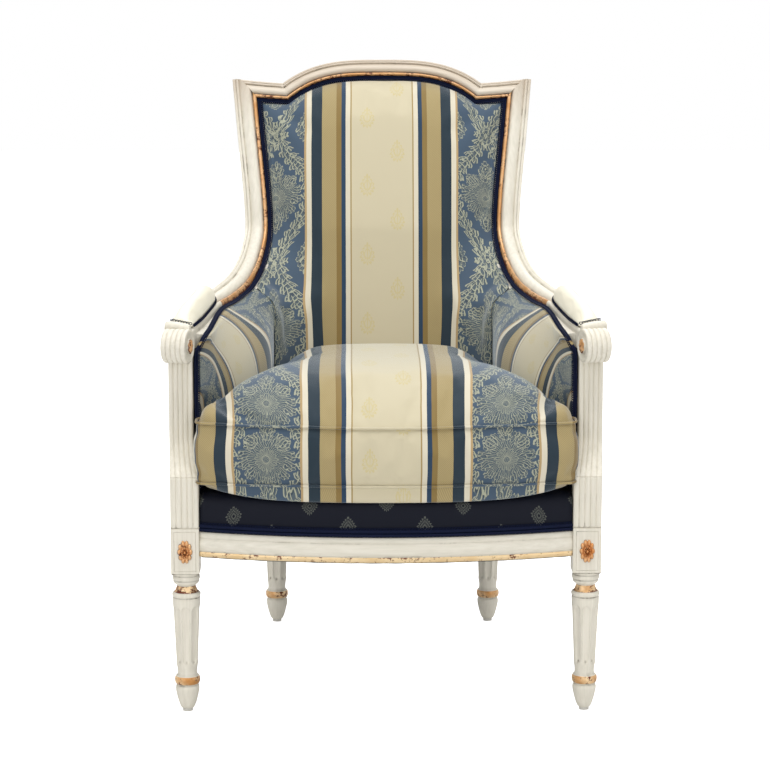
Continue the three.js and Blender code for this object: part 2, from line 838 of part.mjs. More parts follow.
// The roll lies across the arm, so its axis is turned with the arm.
function volute(grow = 0) {
  const axis = vec(Math.cos(voluteTurn), Math.sin(voluteTurn), 0);
  const forward = vec(Math.sin(voluteTurn), -Math.cos(voluteTurn), 0);
  const centre = vec(voluteX, voluteY, voluteHeight);
  const half = voluteWidth / 2 + grow;
  const stations = [];
  for (let r = 0; r < reedCount; r++) {
    for (const [across, out] of reedShares) {
      stations.push([mix(-half, half, (r + across) / reedCount), voluteRadius - reedDepth * (1 - out)]);
    }
  }
  stations.push([half, voluteRadius - reedDepth]);
  const rings = stations.map(([offset, radius]) => {
    const points = [];
    for (let k = 0; k < voluteSides; k++) {
      const angle = (2 * Math.PI * k) / voluteSides;
      points.push(
        centre
          .clone()
          .addScaledVector(axis, offset)
          .addScaledVector(forward, (radius + grow) * Math.cos(angle))
          .addScaledVector(up, (radius + grow) * Math.sin(angle)),
      );
    }
    return points;
  });
  const tip = (offset) => centre.clone().addScaledVector(axis, offset);
  return ringPile(rings, tip(-half), tip(half));
}

function armCap() {
  const { origin, across, out, tangent } = sectionAt(0);
  const profile = [
    [0, -frameThickness / 2],
    [capWidth, -frameThickness / 2],
    [capWidth, capHeight],
    [0, capHeight],
  ];
  const stations = [-capLength / 2, capLength / 2].map((shift) => ({
    origin: origin.clone().addScaledVector(tangent, shift),
    across,
    out,
  }));
  return swept(profile, stations);
}

function armRail() {
  return joined(armSweep(), volute(), armCap());
}

// Arm pads: a domed pad on top of each arm, behind the cap
const armPadHeight = 25;
const armPadWidth = 36;
const armPadFrontAt = 0.25 / guideCount;
const armPadSteps = 10;

function armPad() {
  const start = armPadFrontAt;
  const arcSteps = 7;
  const profile = [];
  for (let i = 0; i <= arcSteps; i++) {
    const angle = Math.PI * (1 - i / arcSteps);
    profile.push([Math.cos(angle), Math.sin(angle) ** 0.7]);
  }
  const stations = [];
  for (let i = 0; i <= armPadSteps; i++) {
    const share = i / armPadSteps;
    const { origin, across, out } = sectionAt(mix(start, padEndAt, share));
    const height = armPadHeight * Math.max(0.12, (1 - Math.abs(2 * share - 1) ** 4) ** 0.5);
    const half = (armPadWidth / 2) * (share > 0.5 ? Math.max(0.35, (1 - (2 * share - 1) ** 4) ** 0.5) : 1);
    stations.push({
      origin: origin.addScaledVector(across, frameWidth / 2).addScaledVector(out, clearance),
      across: across.clone().multiplyScalar(half),
      out: out.clone().multiplyScalar(height),
    });
  }
  return swept(profile, stations);
}

// The space inside the arms: half-widths behind the posts, as shares, front to back
const innerFrontInset = 56; // inside the front leg's axis
const innerNarrowInset = 3; // inside the rear leg's axis
const armPadStart = 53; // behind the front leg's axis
const armPadEnd = 160; // in front of the rear leg's axis
const innerFrontX = frontLegHalfSpacing - innerFrontInset;
const innerNarrowX = rearLegHalfSpacing - innerNarrowInset;
const armPadStartY = frontLegY + armPadStart;
const armPadEndY = rearLegY - armPadEnd;
const innerShares = [
  [0, 1.45],
  [0.05, 1.1],
  [0.12, 0.75],
  [0.24, 0.44],
  [0.39, 0.26],
  [0.58, 0.05],
  [0.8, 0],
  [1, 0.02],
];
const innerLine = new THREE.CatmullRomCurve3(
  innerShares.map(([along, width]) =>
    vec(mix(innerNarrowX, innerFrontX, width), mix(armPadStartY, armPadEndY, along), 0),
  ),
);
const innerSteps = 11;
const innerPlan = Array.from({ length: innerSteps + 1 }, (_, i) => innerLine.getPoint(i / innerSteps));

// Inside arm pads: from the deck up to the ledge of the arm
const flareRise = 95; // above the deck, where the pad's face begins to flare
const flareHeight = seatTop + flareRise;
const padFootGap = clearance * 2;
const webThickness = 1.2;
const deckUnderside = railTop + webThickness * 3 + clearance * 3;
const padLip = 8;
const padTopAt = [jointAt / armSteps, jointAt];
const padRows = 8;

function insideArm() {
  const foot = deckUnderside;
  const front = [];
  const back = [];
  for (let r = 0; r <= padRows; r++) {
    const rise = r / padRows;
    front.push([]);
    back.push([]);
    for (let i = 0; i <= innerSteps; i++) {
      const share = i / innerSteps;
      const t = mix(padTopAt[0], padTopAt[1], share);
      const lip = padLip * Math.sqrt(share);
      const top = placeOn(t, -ledgeWidth - clearance * 6 - lip, -ledgeDepth - clearance);
      const topBack = placeOn(t, -ledgeWidth - clearance * 2, -ledgeDepth - clearance);
      const base = innerPlan[i];
      const z = mix(foot, top.z, rise);
      const flarePower = mix(1.5, 8, share ** 2);
      const flare = THREE.MathUtils.clamp((z - flareHeight) / (top.z - flareHeight), 0, 1) ** flarePower;
      front[r].push(vec(mix(base.x, top.x, flare), mix(base.y, top.y, rise ** 2), z));
      const backX = Math.max(topBack.x, base.x + padLip);
      const farX = mix(backX, topBack.x, rise ** 6);
      back[r].push(vec(farX, mix(base.y, topBack.y, rise ** 2), mix(foot, topBack.z, rise)));
    }
  }
  return cut(slab(front, back), armSweep(clearance), volute(clearance));
}

// Inside back pad. Half-widths and depths at heights, as shares
const backFootDrop = 20; // below the deck's top
const backCentreSetback = 127; // in front of the rear leg's axis
const backEdgeSetback = 173;
const backFoot = seatTop - backFootDrop;
const backLowHalf = innerNarrowX - clearance * 6;
const backCentreLowY = rearLegY - backCentreSetback;
const backEdgeLowY = rearLegY - backEdgeSetback;
const backCrown = 22;
const edgeGap = ledgeWidth + clearance * 2;
const wingAt = 4.3 / guideCount; // where the side edge of the back pad leaves the frame
const backColumns = 12;

const archHeight = (x) => {
  const reach = Math.min(Math.abs(x) / earX, 1);
  const arch = archRise - (archRise + earDrop) * reach ** archPower;
  const ear = Math.max(0, (Math.abs(x) - earX) / (innerCorner.x - earX));
  return arch + earDrop * ear;
};

// The side edge of the back pad, from its foot up to the corner.
function backEdge() {
  const points = [
    vec(backLowHalf, backEdgeLowY, backFoot),
    vec(backLowHalf, backEdgeLowY, mix(backFoot, armFrontHeight, 0.4)),
    vec(backLowHalf, backEdgeLowY, mix(backFoot, armFrontHeight, 0.75)),
    vec(backLowHalf, backEdgeLowY + padLip, mix(backFoot, armFrontHeight, 0.95)),
  ];
  const steps = 12;
  for (let i = 0; i < steps; i++) {
    points.push(placeOn(mix(wingAt, 1, i / steps), -edgeGap, -ledgeDepth / 2));
  }
  points.push(onBack(innerCorner.x - edgeGap, -edgeGap, -ledgeDepth / 2));
  return points;
}

const framePlaneY = (z) => innerCorner.y + (z - innerCorner.z) * leanTangent;
const padBackY = (z) => Math.max(framePlaneY(z), waistY) + padLip / 2;
const padFaceY = (z) =>
  Math.max(
    framePlaneY(z) - backCrown,
    mix(backCentreLowY, waistY - backCrown, (z - backFoot) / (waistHeight - backFoot)),
  );

function insideBack() {
  const edge = backEdge();
  const topHeight = edge[edge.length - 1].z;
  const front = [];
  const back = [];
  edge.forEach((side, r) => {
    const rise = Math.min((side.z - backFoot) / (topHeight - backFoot), 1);
    const edgeY = r === edge.length - 1 ? framePlaneY(side.z) + ledgeDepth / 2 : side.y;
    const fade = (1 - rise ** 12) ** 0.5;
    front.push([]);
    back.push([]);
    for (let c = 0; c <= backColumns; c++) {
      const u = (2 * c) / backColumns - 1;
      const x = side.x * u;
      const z = side.z + archHeight(x) * Math.cos(backLean) * rise ** 3;
      const centreY = mix(framePlaneY(z) - padLip / 2, padFaceY(z), fade);
      const backX = side.z < waistHeight ? Math.min(Math.abs(side.x), waistX - frameWidth / 2 - edgeGap) : side.x;
      front[r].push(vec(x, mix(centreY, edgeY, Math.abs(u) ** 4), z));
      back[r].push(vec(backX * u, padBackY(z), z));
    }
  });
  const wood = swept(frameProfile(frameWidth, clearance), stileSections(-overrun));
  const crest = swept(frameProfile(crestWidth, clearance), crestSections());
  return cut(slab(front, back), wood, mirrored(wood), crest);
}

// Seat deck: a sprung platform covered in navy, with a lip that covers the front rail's rebate
const deckLipBottom = railUnderside + showHeight + clearance;
const deckEarGap = 5; // in front of the arm pads
const deckEarY = armPadStartY - deckEarGap;
const lipInset = 4; // the cover's face stands behind the rail's face
const deckSteps = 12;

function deckOutline(inset = 0) {
  const half = [];
  const endX = frontRailEndX;
  for (let i = 0; i <= deckSteps; i++) {
    const x = (endX * i) / deckSteps;
    half.push([x, frontRailFaceY(x) + inset]);
  }
  half.push([endX, deckEarY]);
  for (const p of innerPlan) {
    half.push([Math.min(p.x - padFootGap, endX), Math.max(p.y, deckEarY + clearance)]);
  }
  const rearY = backCentreLowY - clearance * 2;
  const kept = half.filter(([, y]) => y < backEdgeLowY - clearance * 2);
  kept.push([backLowHalf - padLip, backEdgeLowY - clearance * 2]);
  const rearHalf = kept[kept.length - 1][0];
  kept.push([rearHalf / 2, mix(rearY, backEdgeLowY, 0.2)], [0, mix(rearY, backEdgeLowY, 0.15)]);
  const leftHalf = kept.slice(1, -1).map(([x, y]) => [-x, y]).reverse();
  return [...kept, ...leftHalf];
}

function seatDeck() {
  const outline = deckOutline();
  const pillow = prism(outline, deckUnderside, seatTop - clearance);
  const lipStations = [];
  for (let i = 0; i <= deckSteps * 2; i++) {
    const x = mix(-frontRailEndX, frontRailEndX, i / (deckSteps * 2));
    lipStations.push(x);
  }
  const face = lipStations.map((x) => [x, frontRailFaceY(x) + lipInset]);
  const rear = lipStations.map((x) => [x, frontRailFaceY(x) + rebateDepth - clearance]).reverse();
  const lip = prism([...face, ...rear], deckLipBottom, deckUnderside + lipInset);
  return joined(pillow, lip);
}

// Seat cushion: a loose boxed cushion with front corners that reach between the arm posts
const cushionLift = 20; // the lower seam above the deck
const cushionBoxing = 96;
const cushionSeamLow = seatTop + cushionLift;
const cushionSeamHigh = cushionSeamLow + cushionBoxing;
const cushionCrown = 74;
const cushionGap = 3; // to the pads beside and behind it
const cushionFrontBow = 40;
const cushionEarX = frontBlockInnerX - cushionGap * 1.5;
const cushionEarFront = 36; // the ear's front, in front of the leg's axis
const cushionEarGap = 23; // the ear's rear, in front of the arm pads' foot
const seamInset = 6;
const weltRadius = 2.5;
const seamLand = 4;

function cushionOutline() {
  const half = [];
  const earFrontY = frontLegY - cushionEarFront;
  const earRearY = armPadStartY - cushionEarGap;
  const frontSteps = 6;
  const cornerRound = 10;
  for (let i = 0; i <= frontSteps; i++) {
    const x = ((cushionEarX - cornerRound) * i) / frontSteps;
    const bow = cushionFrontBow * (1 - (x / cushionEarX) ** 2);
    half.push([x, earFrontY - bow]);
  }
  half.push([cushionEarX - cornerRound / 4, earFrontY + cornerRound / 4]);
  half.push([cushionEarX, earFrontY + cornerRound]);
  half.push([cushionEarX, frontLegY]);
  half.push([cushionEarX, earRearY - cornerRound]);
  half.push([cushionEarX - cornerRound, earRearY]);
  const rearCorner = 18;
  const rearY = backCentreLowY - cushionGap * 2;
  const sideLimit = backEdgeLowY - cushionGap;
  for (const p of innerPlan.slice(1)) {
    if (p.y < sideLimit - rearCorner) half.push([p.x - cushionGap, p.y]);
  }
  const rearHalf = backLowHalf - cushionGap * 3;
  half.push([rearHalf, sideLimit - rearCorner / 3]);
  half.push([rearHalf - rearCorner, sideLimit + rearCorner / 3]);
  half.push([rearHalf / 2, mix(sideLimit, rearY, 0.75)]);
  half.push([0, mix(sideLimit, rearY, 0.85)]);
  const leftHalf = half.slice(1, -1).map(([x, y]) => [-x, y]).reverse();
  return [...half, ...leftHalf];
}

// Moves each point of an outline sideways along its normal. A positive distance moves it inwards.
function insetOutline(outline, distance) {
  const count = outline.length;
  return outline.map((point, i) => {
    const before = outline[(i + count - 1) % count];
    const after = outline[(i + 1) % count];
    const along = new THREE.Vector2(after[0] - before[0], after[1] - before[1]).normalize();
    return [point[0] - along.y * distance, point[1] + along.x * distance];
  });
}

const cushionCentreY = mix(frontLegY, rearLegY, 0.27);

function seatCushion() {
  const outline = cushionOutline();
  const ringAt = (distance, z) => insetOutline(outline, distance).map(([x, y]) => vec(x, y, z));
  const shrunk = (share, z) =>
    insetOutline(outline, seamInset).map(([x, y]) => vec(x * share, mix(cushionCentreY, y, share), z));
  const middle = (cushionSeamLow + cushionSeamHigh) / 2;
  const bottom = seatTop;
  const rise = (share) => cushionSeamHigh + seamLand + cushionCrown * (1 - share ** 3.2) ** 0.62;
  const rings = [
    shrunk(0.5, bottom),
    shrunk(0.9, bottom),
    shrunk(0.97, mix(bottom, cushionSeamLow, 0.3)),
    ringAt(seamInset, cushionSeamLow - seamLand),
    ringAt(seamInset, cushionSeamLow + seamLand),
    ringAt(seamInset / 3, mix(cushionSeamLow, cushionSeamHigh, 0.2)),
    ringAt(0, middle),
    ringAt(seamInset / 3, mix(cushionSeamLow, cushionSeamHigh, 0.8)),
    ringAt(seamInset, cushionSeamHigh - seamLand),
    ringAt(seamInset, cushionSeamHigh + seamLand),
    ...[0.97, 0.92, 0.84, 0.7, 0.5, 0.25].map((share) => shrunk(share, rise(share))),
  ];
  return ringPile(rings, vec(0, cushionCentreY, bottom), vec(0, cushionCentreY, rise(0)));
}

function cushionWelt(z) {
  const path = insetOutline(cushionOutline(), seamInset - weltRadius - clearance * 2);
  const count = path.length;
  const sides = 6;
  const stations = path.map(([x, y], i) => {
    const before = path[(i + count - 1) % count];
    const after = path[(i + 1) % count];
    const along = vec(after[0] - before[0], after[1] - before[1], 0).normalize();
    return { origin: vec(x, y, z), across: vec(along.y, -along.x, 0), out: up };
  });
  const circle = Array.from({ length: sides }, (_, k) => {
    const angle = (2 * Math.PI * k) / sides;
    return [weltRadius * Math.cos(angle), weltRadius * Math.sin(angle)];
  });
  return swept(circle, stations, true);
}

// Double piping: two cords side by side, on the ledge of the frame
const pipingRadius = 2.8;
const pipingShares = [
  [0, 0],
  [1, 0],
  [1, 1],
  [0.87, 1.7],
  [0.67, 1.7],
  [0.5, 1.1],
  [0.33, 1.7],
  [0.13, 1.7],
  [0, 1],
];
const pipingProfile = pipingShares.map(([across, out]) => [
  -ledgeWidth + clearance + across * (ledgeWidth - clearance * 3),
  -ledgeDepth + clearance * 2 + out * pipingRadius,
]);

function backPiping() {
  const sections = stileSections(clearance);
  const crest = crestSections();
  const rightSide = sections.slice(0, -1);
  const leftSide = rightSide.map(({ origin, across, out }) => ({
    origin: vec(-origin.x, origin.y, origin.z),
    across: vec(-across.x, across.y, across.z),
    out: vec(-out.x, out.y, out.z),
  }));
  const cornerSection = {
    origin: innerCorner.clone(),
    across: right.clone().multiplyScalar(mitreRun / frameWidth).addScaledVector(leanUp, mitreRise / frameWidth),
    out: leanFront,
  };
  const leftCorner = {
    ...cornerSection,
    origin: vec(-innerCorner.x, innerCorner.y, innerCorner.z),
    across: vec(-cornerSection.across.x, cornerSection.across.y, cornerSection.across.z),
  };
  const stations = [...rightSide, cornerSection, ...crest.slice(1, -1), leftCorner, ...leftSide.reverse()];
  return swept(pipingProfile, stations);
}

// Piping along the inner side of an arm, and along the front rail's cover
function armPiping() {
  const sections = [];
  for (let i = 1; i <= armSteps; i++) {
    sections.push(sectionAt(jointAt * (i / armSteps), i === armSteps ? -clearance : 0));
  }
  return swept(pipingProfile, sections);
}

const frontPipingProfile = pipingShares.map(([across, out]) => [
  -lipInset + clearance + out * pipingRadius,
  railUnderside + showHeight + clearance + across * (ledgeWidth - clearance * 2),
]);

function frontPiping() {
  const steps = deckSteps * 2;
  const stations = [];
  for (let i = 0; i <= steps; i++) {
    const x = mix(-frontRailEndX, frontRailEndX, i / steps);
    stations.push({ origin: vec(x, frontRailFaceY(x), 0), across: vec(0, -1, 0), out: up });
  }
  return swept(frontPipingProfile, stations);
}

// Lower back rail between the rear posts, hidden in the upholstery
const lowerRailRise = 38; // above the deck
const lowerRailBottom = seatTop + lowerRailRise;
const lowerRailHeight = 38;
const lowerRailThickness = 24;

const postShare = (z) => (z - blockTop) / (postTopHeight - blockTop);
const postInnerX = (z) =>
  mix(rearLegHalfSpacing, postTopX, postShare(z) ** 1.4) -
  mix(blockWidth, postTopWidth, postShare(z)) / 2;

function lowerBackRail() {
  const middle = lowerRailBottom + lowerRailHeight / 2;
  const half = postInnerX(lowerRailBottom) - clearance;
  const y = mix(rearLegY, postTopY, postShare(middle));
  return box(
    -half,
    half,
    y - lowerRailThickness / 2,
    y + lowerRailThickness / 2,
    lowerRailBottom,
    lowerRailBottom + lowerRailHeight,
  );
}

// Outside back: one covered panel behind the posts and the crest
const panelThickness = 4;
const outsideRows = 12;
const outsideColumns = 8;
const outsideFoot = railUnderside + showHeight + clearance;

// The rearmost face of the wood at a height.
function rearFaceY(z) {
  const share = THREE.MathUtils.clamp(postShare(z), 0, 1);
  const post =
    mix(rearLegY, postTopY, share ** 0.8) + mix(blockWidth, postTopDepth, share) / 2;
  const frame = framePlaneY(z) + frameThickness / Math.cos(backLean);
  return Math.max(z > postTopHeight ? frame : post, z > waistHeight - frameThickness ? frame : post);
}

function outsideBack() {
  const near = [];
  const far = [];
  const sideTop = innerCorner.z + mitreRise / 4;
  for (let r = 0; r <= outsideRows; r++) {
    const rise = r / outsideRows;
    const rowZ = mix(outsideFoot, sideTop, rise);
    const lean = THREE.MathUtils.clamp((rowZ - waistHeight) / (sideTop - waistHeight), 0, 1);
    const low = THREE.MathUtils.clamp(postShare(rowZ), 0, 1) ** 1.4;
    const half = mix(mix(rearLegHalfSpacing, postTopX, low), cornerX - ledgeWidth / 2, lean);
    near.push([]);
    far.push([]);
    for (let c = 0; c <= outsideColumns; c++) {
      const x = half * ((2 * c) / outsideColumns - 1);
      const z = rowZ + (archHeight((x / half) * innerCorner.x) + earDrop / 2) * rise ** 4;
      const y = rearFaceY(z) + clearance * 6;
      near[r].push(vec(x, y, z));
      far[r].push(vec(x, y + panelThickness, z));
    }
  }
  return slab(near, far);
}

// Outside of an arm: from the side rail up to the arm, wrapping from post to post
const outsideArmSteps = 12;
const outsideArmRows = 5;
const outsideArmEndAt = 6 / guideCount;
const outsideArmShare = 0.72; // of the face's width, under which the panel's top lies

function outsideArm() {
  const near = [];
  const far = [];
  const rearY = rearLegY - blockHalf - clearance * 2;
  for (let r = 0; r <= outsideArmRows; r++) {
    const rise = r / outsideArmRows;
    near.push([]);
    far.push([]);
    for (let i = 0; i <= outsideArmSteps; i++) {
      const share = i / outsideArmSteps;
      const t = mix(padTopAt[0], outsideArmEndAt, share);
      const under = (u) => placeOn(t, u, -frameThickness - clearance * 3);
      const outerTop = under(frameWidth * outsideArmShare);
      const innerTop = under(frameWidth * outsideArmShare - panelThickness);
      const frontY = postSection(mix(outsideFoot, outerTop.z, rise)).back + clearance * 2;
      const y = mix(frontY, rearY, share);
      const outer = sideRailX(y) + (railThickness / 2) * sideStretch - clearance;
      const shift = share ? rise ** 2 : 0;
      const at = (x, top) =>
        vec(mix(x, top.x, rise), mix(y, top.y, shift), mix(outsideFoot, top.z, rise));
      far[r].push(at(outer, outerTop));
      near[r].push(at(outer - panelThickness, innerTop));
    }
  }
  return cut(slab(near, far), armPostShaft(clearance * 2));
}

// Webbing: straps woven over and under each other, tacked down on top of the rails
const webWidth = 48;
const lengthwiseHalfCount = 2;
const lengthwisePitch = rearLegHalfSpacing / (lengthwiseHalfCount + 1);
const crosswiseCount = 4;
const crosswiseFirst = 62; // behind the front leg's axis
const crosswiseFirstY = frontLegY + crosswiseFirst;
const crosswisePitch = (rearLegY - crosswiseFirstY) / (crosswiseCount + 0.2);
const webEndInset = 12;
const webLow = railTop + clearance;
const webHigh = webLow + webThickness + clearance * 2;
const crosswiseY = (index) => crosswiseFirstY + index * crosswisePitch;
const lengthwiseX = (index) => (index - lengthwiseHalfCount) * lengthwisePitch;

// A strap between two ends, with its level given at each crossing.
function strap(start, end, crossings, place, across) {
  const half = webWidth / 2 + webThickness;
  const levels = [[start, webLow]];
  for (const [at, level] of crossings) {
    levels.push([at - half, level], [at + half, level]);
  }
  levels.push([end, webLow]);
  const profile = [
    [-webWidth / 2, 0],
    [webWidth / 2, 0],
    [webWidth / 2, webThickness],
    [-webWidth / 2, webThickness],
  ];
  return swept(profile, levels.map(([at, z]) => ({ origin: place(at, z), across, out: up })));
}

function lengthwiseStrap(index) {
  const x = lengthwiseX(index);
  const crossings = [];
  for (let c = 0; c < crosswiseCount; c++) {
    crossings.push([crosswiseY(c), (c + index) % 2 ? webHigh : webLow]);
  }
  const outer = Math.abs(x) + webWidth / 2;
  const start = frontRailFaceY(outer) + webEndInset;
  const end = rearRailY + railThickness / 2 - webEndInset;
  return strap(start, end, crossings, (y, z) => vec(x, y, z), right);
}

function crosswiseStrap(index) {
  const y = crosswiseY(index);
  const crossings = [];
  for (let c = 0; c <= lengthwiseHalfCount * 2; c++) {
    crossings.push([lengthwiseX(c), (c + index) % 2 ? webLow : webHigh]);
  }
  const end = sideRailX(y + webWidth / 2) + railThickness / 2 - webEndInset;
  return strap(-end, end, crossings, (x, z) => vec(x, y, z), vec(0, -1, 0));
}

// Black dust cover under the rails, cut round the leg blocks
const dustThickness = 1;
const dustInset = 6;

function dustCover() {
  const half = [];
  const steps = 6;
  const endX = frontBlockInnerX - clearance - dustInset / 2;
  for (let i = 0; i <= steps; i++) {
    const x = (endX * i) / steps;
    half.push([x, frontRailFaceY(x) + dustInset]);
  }
  const behind = frontLegY + blockHalf + dustInset / 2;
  const sideX = (y) => sideRailX(y) + railThickness / 2 - dustInset;
  const beforeRear = rearLegY - blockHalf - dustInset / 2;
  const rearX = rearBlockInnerX - dustInset / 2;
  half.push([endX, behind]);
  half.push([sideX(behind), behind]);
  half.push([sideX(beforeRear), beforeRear]);
  half.push([rearX, beforeRear]);
  half.push([rearX, rearRailY + railThickness / 2 - dustInset]);
  const leftHalf = half.slice(1).map(([x, y]) => [-x, y]).reverse();
  return prism([...half, ...leftHalf], railUnderside - clearance - dustThickness, railUnderside - clearance);
}

// Gilt rosette on the front face of a leg block
const rosetteWidth = 23;
const rosetteHeight = 37;
const rosetteDepth = 7;
const rosetteSides = 16;
const rosetteShares = [
  [1, 0],
  [0.96, 0.45],
  [0.7, 0.6],
  [0.5, 0.45],
  [0.4, 0.9],
];

function rosette() {
  const y = frontLegY - blockHalf - clearance;
  const z = (blockBottom + blockTop) / 2;
  const ring = ([size, out]) => {
    const points = [];
    for (let k = 0; k < rosetteSides; k++) {
      const angle = (2 * Math.PI * k) / rosetteSides;
      points.push(
        vec(
          frontLegHalfSpacing + (rosetteWidth / 2) * size * Math.cos(angle),
          y - rosetteDepth * out,
          z + (rosetteHeight / 2) * size * Math.sin(angle),
        ),
      );
    }
    return points;
  };
  return ringPile(
    rosetteShares.map(ring),
    vec(frontLegHalfSpacing, y, z),
    vec(frontLegHalfSpacing, y - rosetteDepth, z),
  );
}

const glide = (x, y) => bar(vec(x, y, 0), vec(x, y, glideHeight), glideRadius, glideSides);
const glideSides = 16;

// The whole chair
function frontLeg() {
  const { x, y } = { x: frontLegHalfSpacing, y: frontLegY };
  const socket = bar(
    vec(x, y, blockTop - armPostTenonLength - clearance),
    vec(x, y, blockTop + overrun),
    armPostTenonRadius + clearance,
  );
  return cut(
    joined(turnedLeg(x, y), legBlock(x, y)),
    frontTenon(clearance),
    sideFrontTenon(clearance),
    frontScrew(clearance),
    socket,
  );
}

function rearLeg() {
  const { x, y } = { x: rearLegHalfSpacing, y: rearLegY };
  const socket = bar(
    vec(x, y, blockTop - rearTenonLength - clearance),
    vec(x, y, blockTop + overrun),
    rearTenonRadius + clearance,
  );
  return cut(
    joined(turnedLeg(x, y), legBlock(x, y)),
    rearTenon(clearance),
    sideRearTenon(clearance),
    rearScrew(clearance),
    socket,
  );
}

const cornerBlock = (outline, driven) =>
  cut(prism(outline, cornerBlockBottom, cornerBlockTop), driven(clearance));

addPair("front_leg", frontLeg(), paintedWood);
addPair("rear_leg", rearLeg(), paintedWood);
addPair("glide_front", asIndexed(glide(frontLegHalfSpacing, frontLegY)), glidePlastic);
addPair("glide_rear", asIndexed(glide(rearLegHalfSpacing, rearLegY)), glidePlastic);
addPair("rosette", rosette(), giltCarving);
addPair("arm_post", armPost(), paintedWood);
addPair("arm_rail", armRail(), paintedWood);
addPair("back_stile", stile(), paintedWood);
add("crest_rail", crestRail(), paintedWood);
add("lower_back_rail", lowerBackRail(), bareBeech);
add("front_seat_rail", frontRail(), paintedWood);
addPair("side_seat_rail", sideRail(), paintedWood);
add("rear_seat_rail", rearRail(), paintedWood);
addPair("corner_block_front", cornerBlock(frontCornerOutline(), frontScrew), bareBeech);
addPair("corner_block_rear", cornerBlock(rearCornerOutline(), rearScrew), bareBeech);
addPair("corner_screw_front", frontScrew(0), zincSteel);
addPair("corner_screw_rear", rearScrew(0), zincSteel);
for (let i = 0; i <= lengthwiseHalfCount * 2; i++) {
  add(`webbing_lengthwise_${i + 1}`, lengthwiseStrap(i), juteWebbing);
}
for (let i = 0; i < crosswiseCount; i++) {
  add(`webbing_crosswise_${i + 1}`, crosswiseStrap(i), juteWebbing);
}
add("dust_cover", dustCover(), blackCambric);
add("seat_deck", seatDeck(), navySatin);
add("seat_cushion", seatCushion(), stripedDamask);
add("cushion_welt_top", cushionWelt(cushionSeamHigh), stripedDamask);
add("cushion_welt_bottom", cushionWelt(cushionSeamLow), stripedDamask);
add("inside_back_pad", insideBack(), stripedDamask);
addPair("inside_arm_pad", insideArm(), stripedDamask);
addPair("arm_pad", armPad(), creamSatin);
add("outside_back_panel", outsideBack(), navySatin);
addPair("outside_arm_panel", outsideArm(), navySatin);
add("back_piping", backPiping(), navyCord);
addPair("arm_piping", armPiping(), navyCord);
add("front_piping", frontPiping(), navyCord);

export default chair;
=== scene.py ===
import math
import bpy
import bmesh
import numpy as np
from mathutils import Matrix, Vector, noise


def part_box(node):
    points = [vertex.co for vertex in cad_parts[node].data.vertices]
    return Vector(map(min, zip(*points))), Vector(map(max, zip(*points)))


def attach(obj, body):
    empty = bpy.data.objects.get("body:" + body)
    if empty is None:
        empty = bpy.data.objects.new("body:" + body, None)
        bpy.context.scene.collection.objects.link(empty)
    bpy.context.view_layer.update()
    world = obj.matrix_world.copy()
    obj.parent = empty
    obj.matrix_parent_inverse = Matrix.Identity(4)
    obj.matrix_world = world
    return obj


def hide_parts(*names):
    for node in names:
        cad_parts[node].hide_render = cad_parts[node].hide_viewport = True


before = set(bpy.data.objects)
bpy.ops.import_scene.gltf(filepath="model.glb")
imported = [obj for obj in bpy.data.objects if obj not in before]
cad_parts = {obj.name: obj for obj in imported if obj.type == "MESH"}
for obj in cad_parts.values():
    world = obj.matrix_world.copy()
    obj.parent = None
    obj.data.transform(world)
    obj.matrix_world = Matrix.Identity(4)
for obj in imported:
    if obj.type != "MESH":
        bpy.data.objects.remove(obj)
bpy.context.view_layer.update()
print("frame loaded")

# Sizes in millimetres, as in the part's own source. Meshes are made in metres.
mm = 0.001
chair = {
    "frontLegX": 318, "rearLegX": 192, "frontLegY": -288.65, "rearLegY": 266.35,
    "blockHalf": 22.5, "blockBottom": 228, "blockTop": 302,
    "railThickness": 30, "railInset": 3, "frontBow": 46.5,
    "faceWidth": 40, "crestWidth": 29, "thickness": 34, "ledgeWidth": 12, "ledgeDepth": 12,
    "armFront": 618, "waist": 723.5, "corner": 948, "leanDegrees": 17,
}

# The camera stands where the photograph was taken from
camera = {"place": (-0.047, chair["frontLegY"] * mm - 3.876, 1.177), "tilt": 9.5, "turn": 0.67,
          "lens": 116.88}
cameraData = bpy.data.cameras.new("camera")
cameraData.lens = camera["lens"]
cameraData.sensor_width = 36
cameraObject = bpy.data.objects.new("camera", cameraData)
cameraObject.location = camera["place"]
cameraObject.rotation_euler = (math.radians(90 - camera["tilt"]), 0, math.radians(-camera["turn"]))
bpy.context.scene.collection.objects.link(cameraObject)
bpy.context.scene.camera = cameraObject


# Mesh helpers
def addPiece(name, points, faces, materials, faceMaterials=None, sharpAngle=40, uv=None, values=None):
    mesh = bpy.data.meshes.new(name)
    mesh.from_pydata([tuple(p) for p in np.asarray(points, float) * mm], [],
                     [tuple(int(i) for i in f) for f in faces])
    mesh.validate()
    for material in materials:
        mesh.materials.append(material)
    if faceMaterials is not None and len(mesh.polygons) == len(faces):
        mesh.polygons.foreach_set("material_index", np.asarray(faceMaterials, np.int32))
    for key, column in (values or {}).items():
        attribute = mesh.attributes.new(key, "FLOAT", "POINT")
        attribute.data.foreach_set("value", np.asarray(column, np.float32))
    if uv is not None:
        layer = mesh.uv_layers.new(name="cloth")
        loopVertex = np.empty(len(mesh.loops), np.int32)
        mesh.loops.foreach_get("vertex_index", loopVertex)
        table = np.asarray(uv, float)
        table = table[loopVertex] if len(table) == len(points) else table
        layer.data.foreach_set("uv", (table * mm).astype(np.float32).ravel())
    piece = bpy.data.objects.new(name, mesh)
    bpy.context.scene.collection.objects.link(piece)
    tidyMesh(piece, sharpAngle)
    return piece


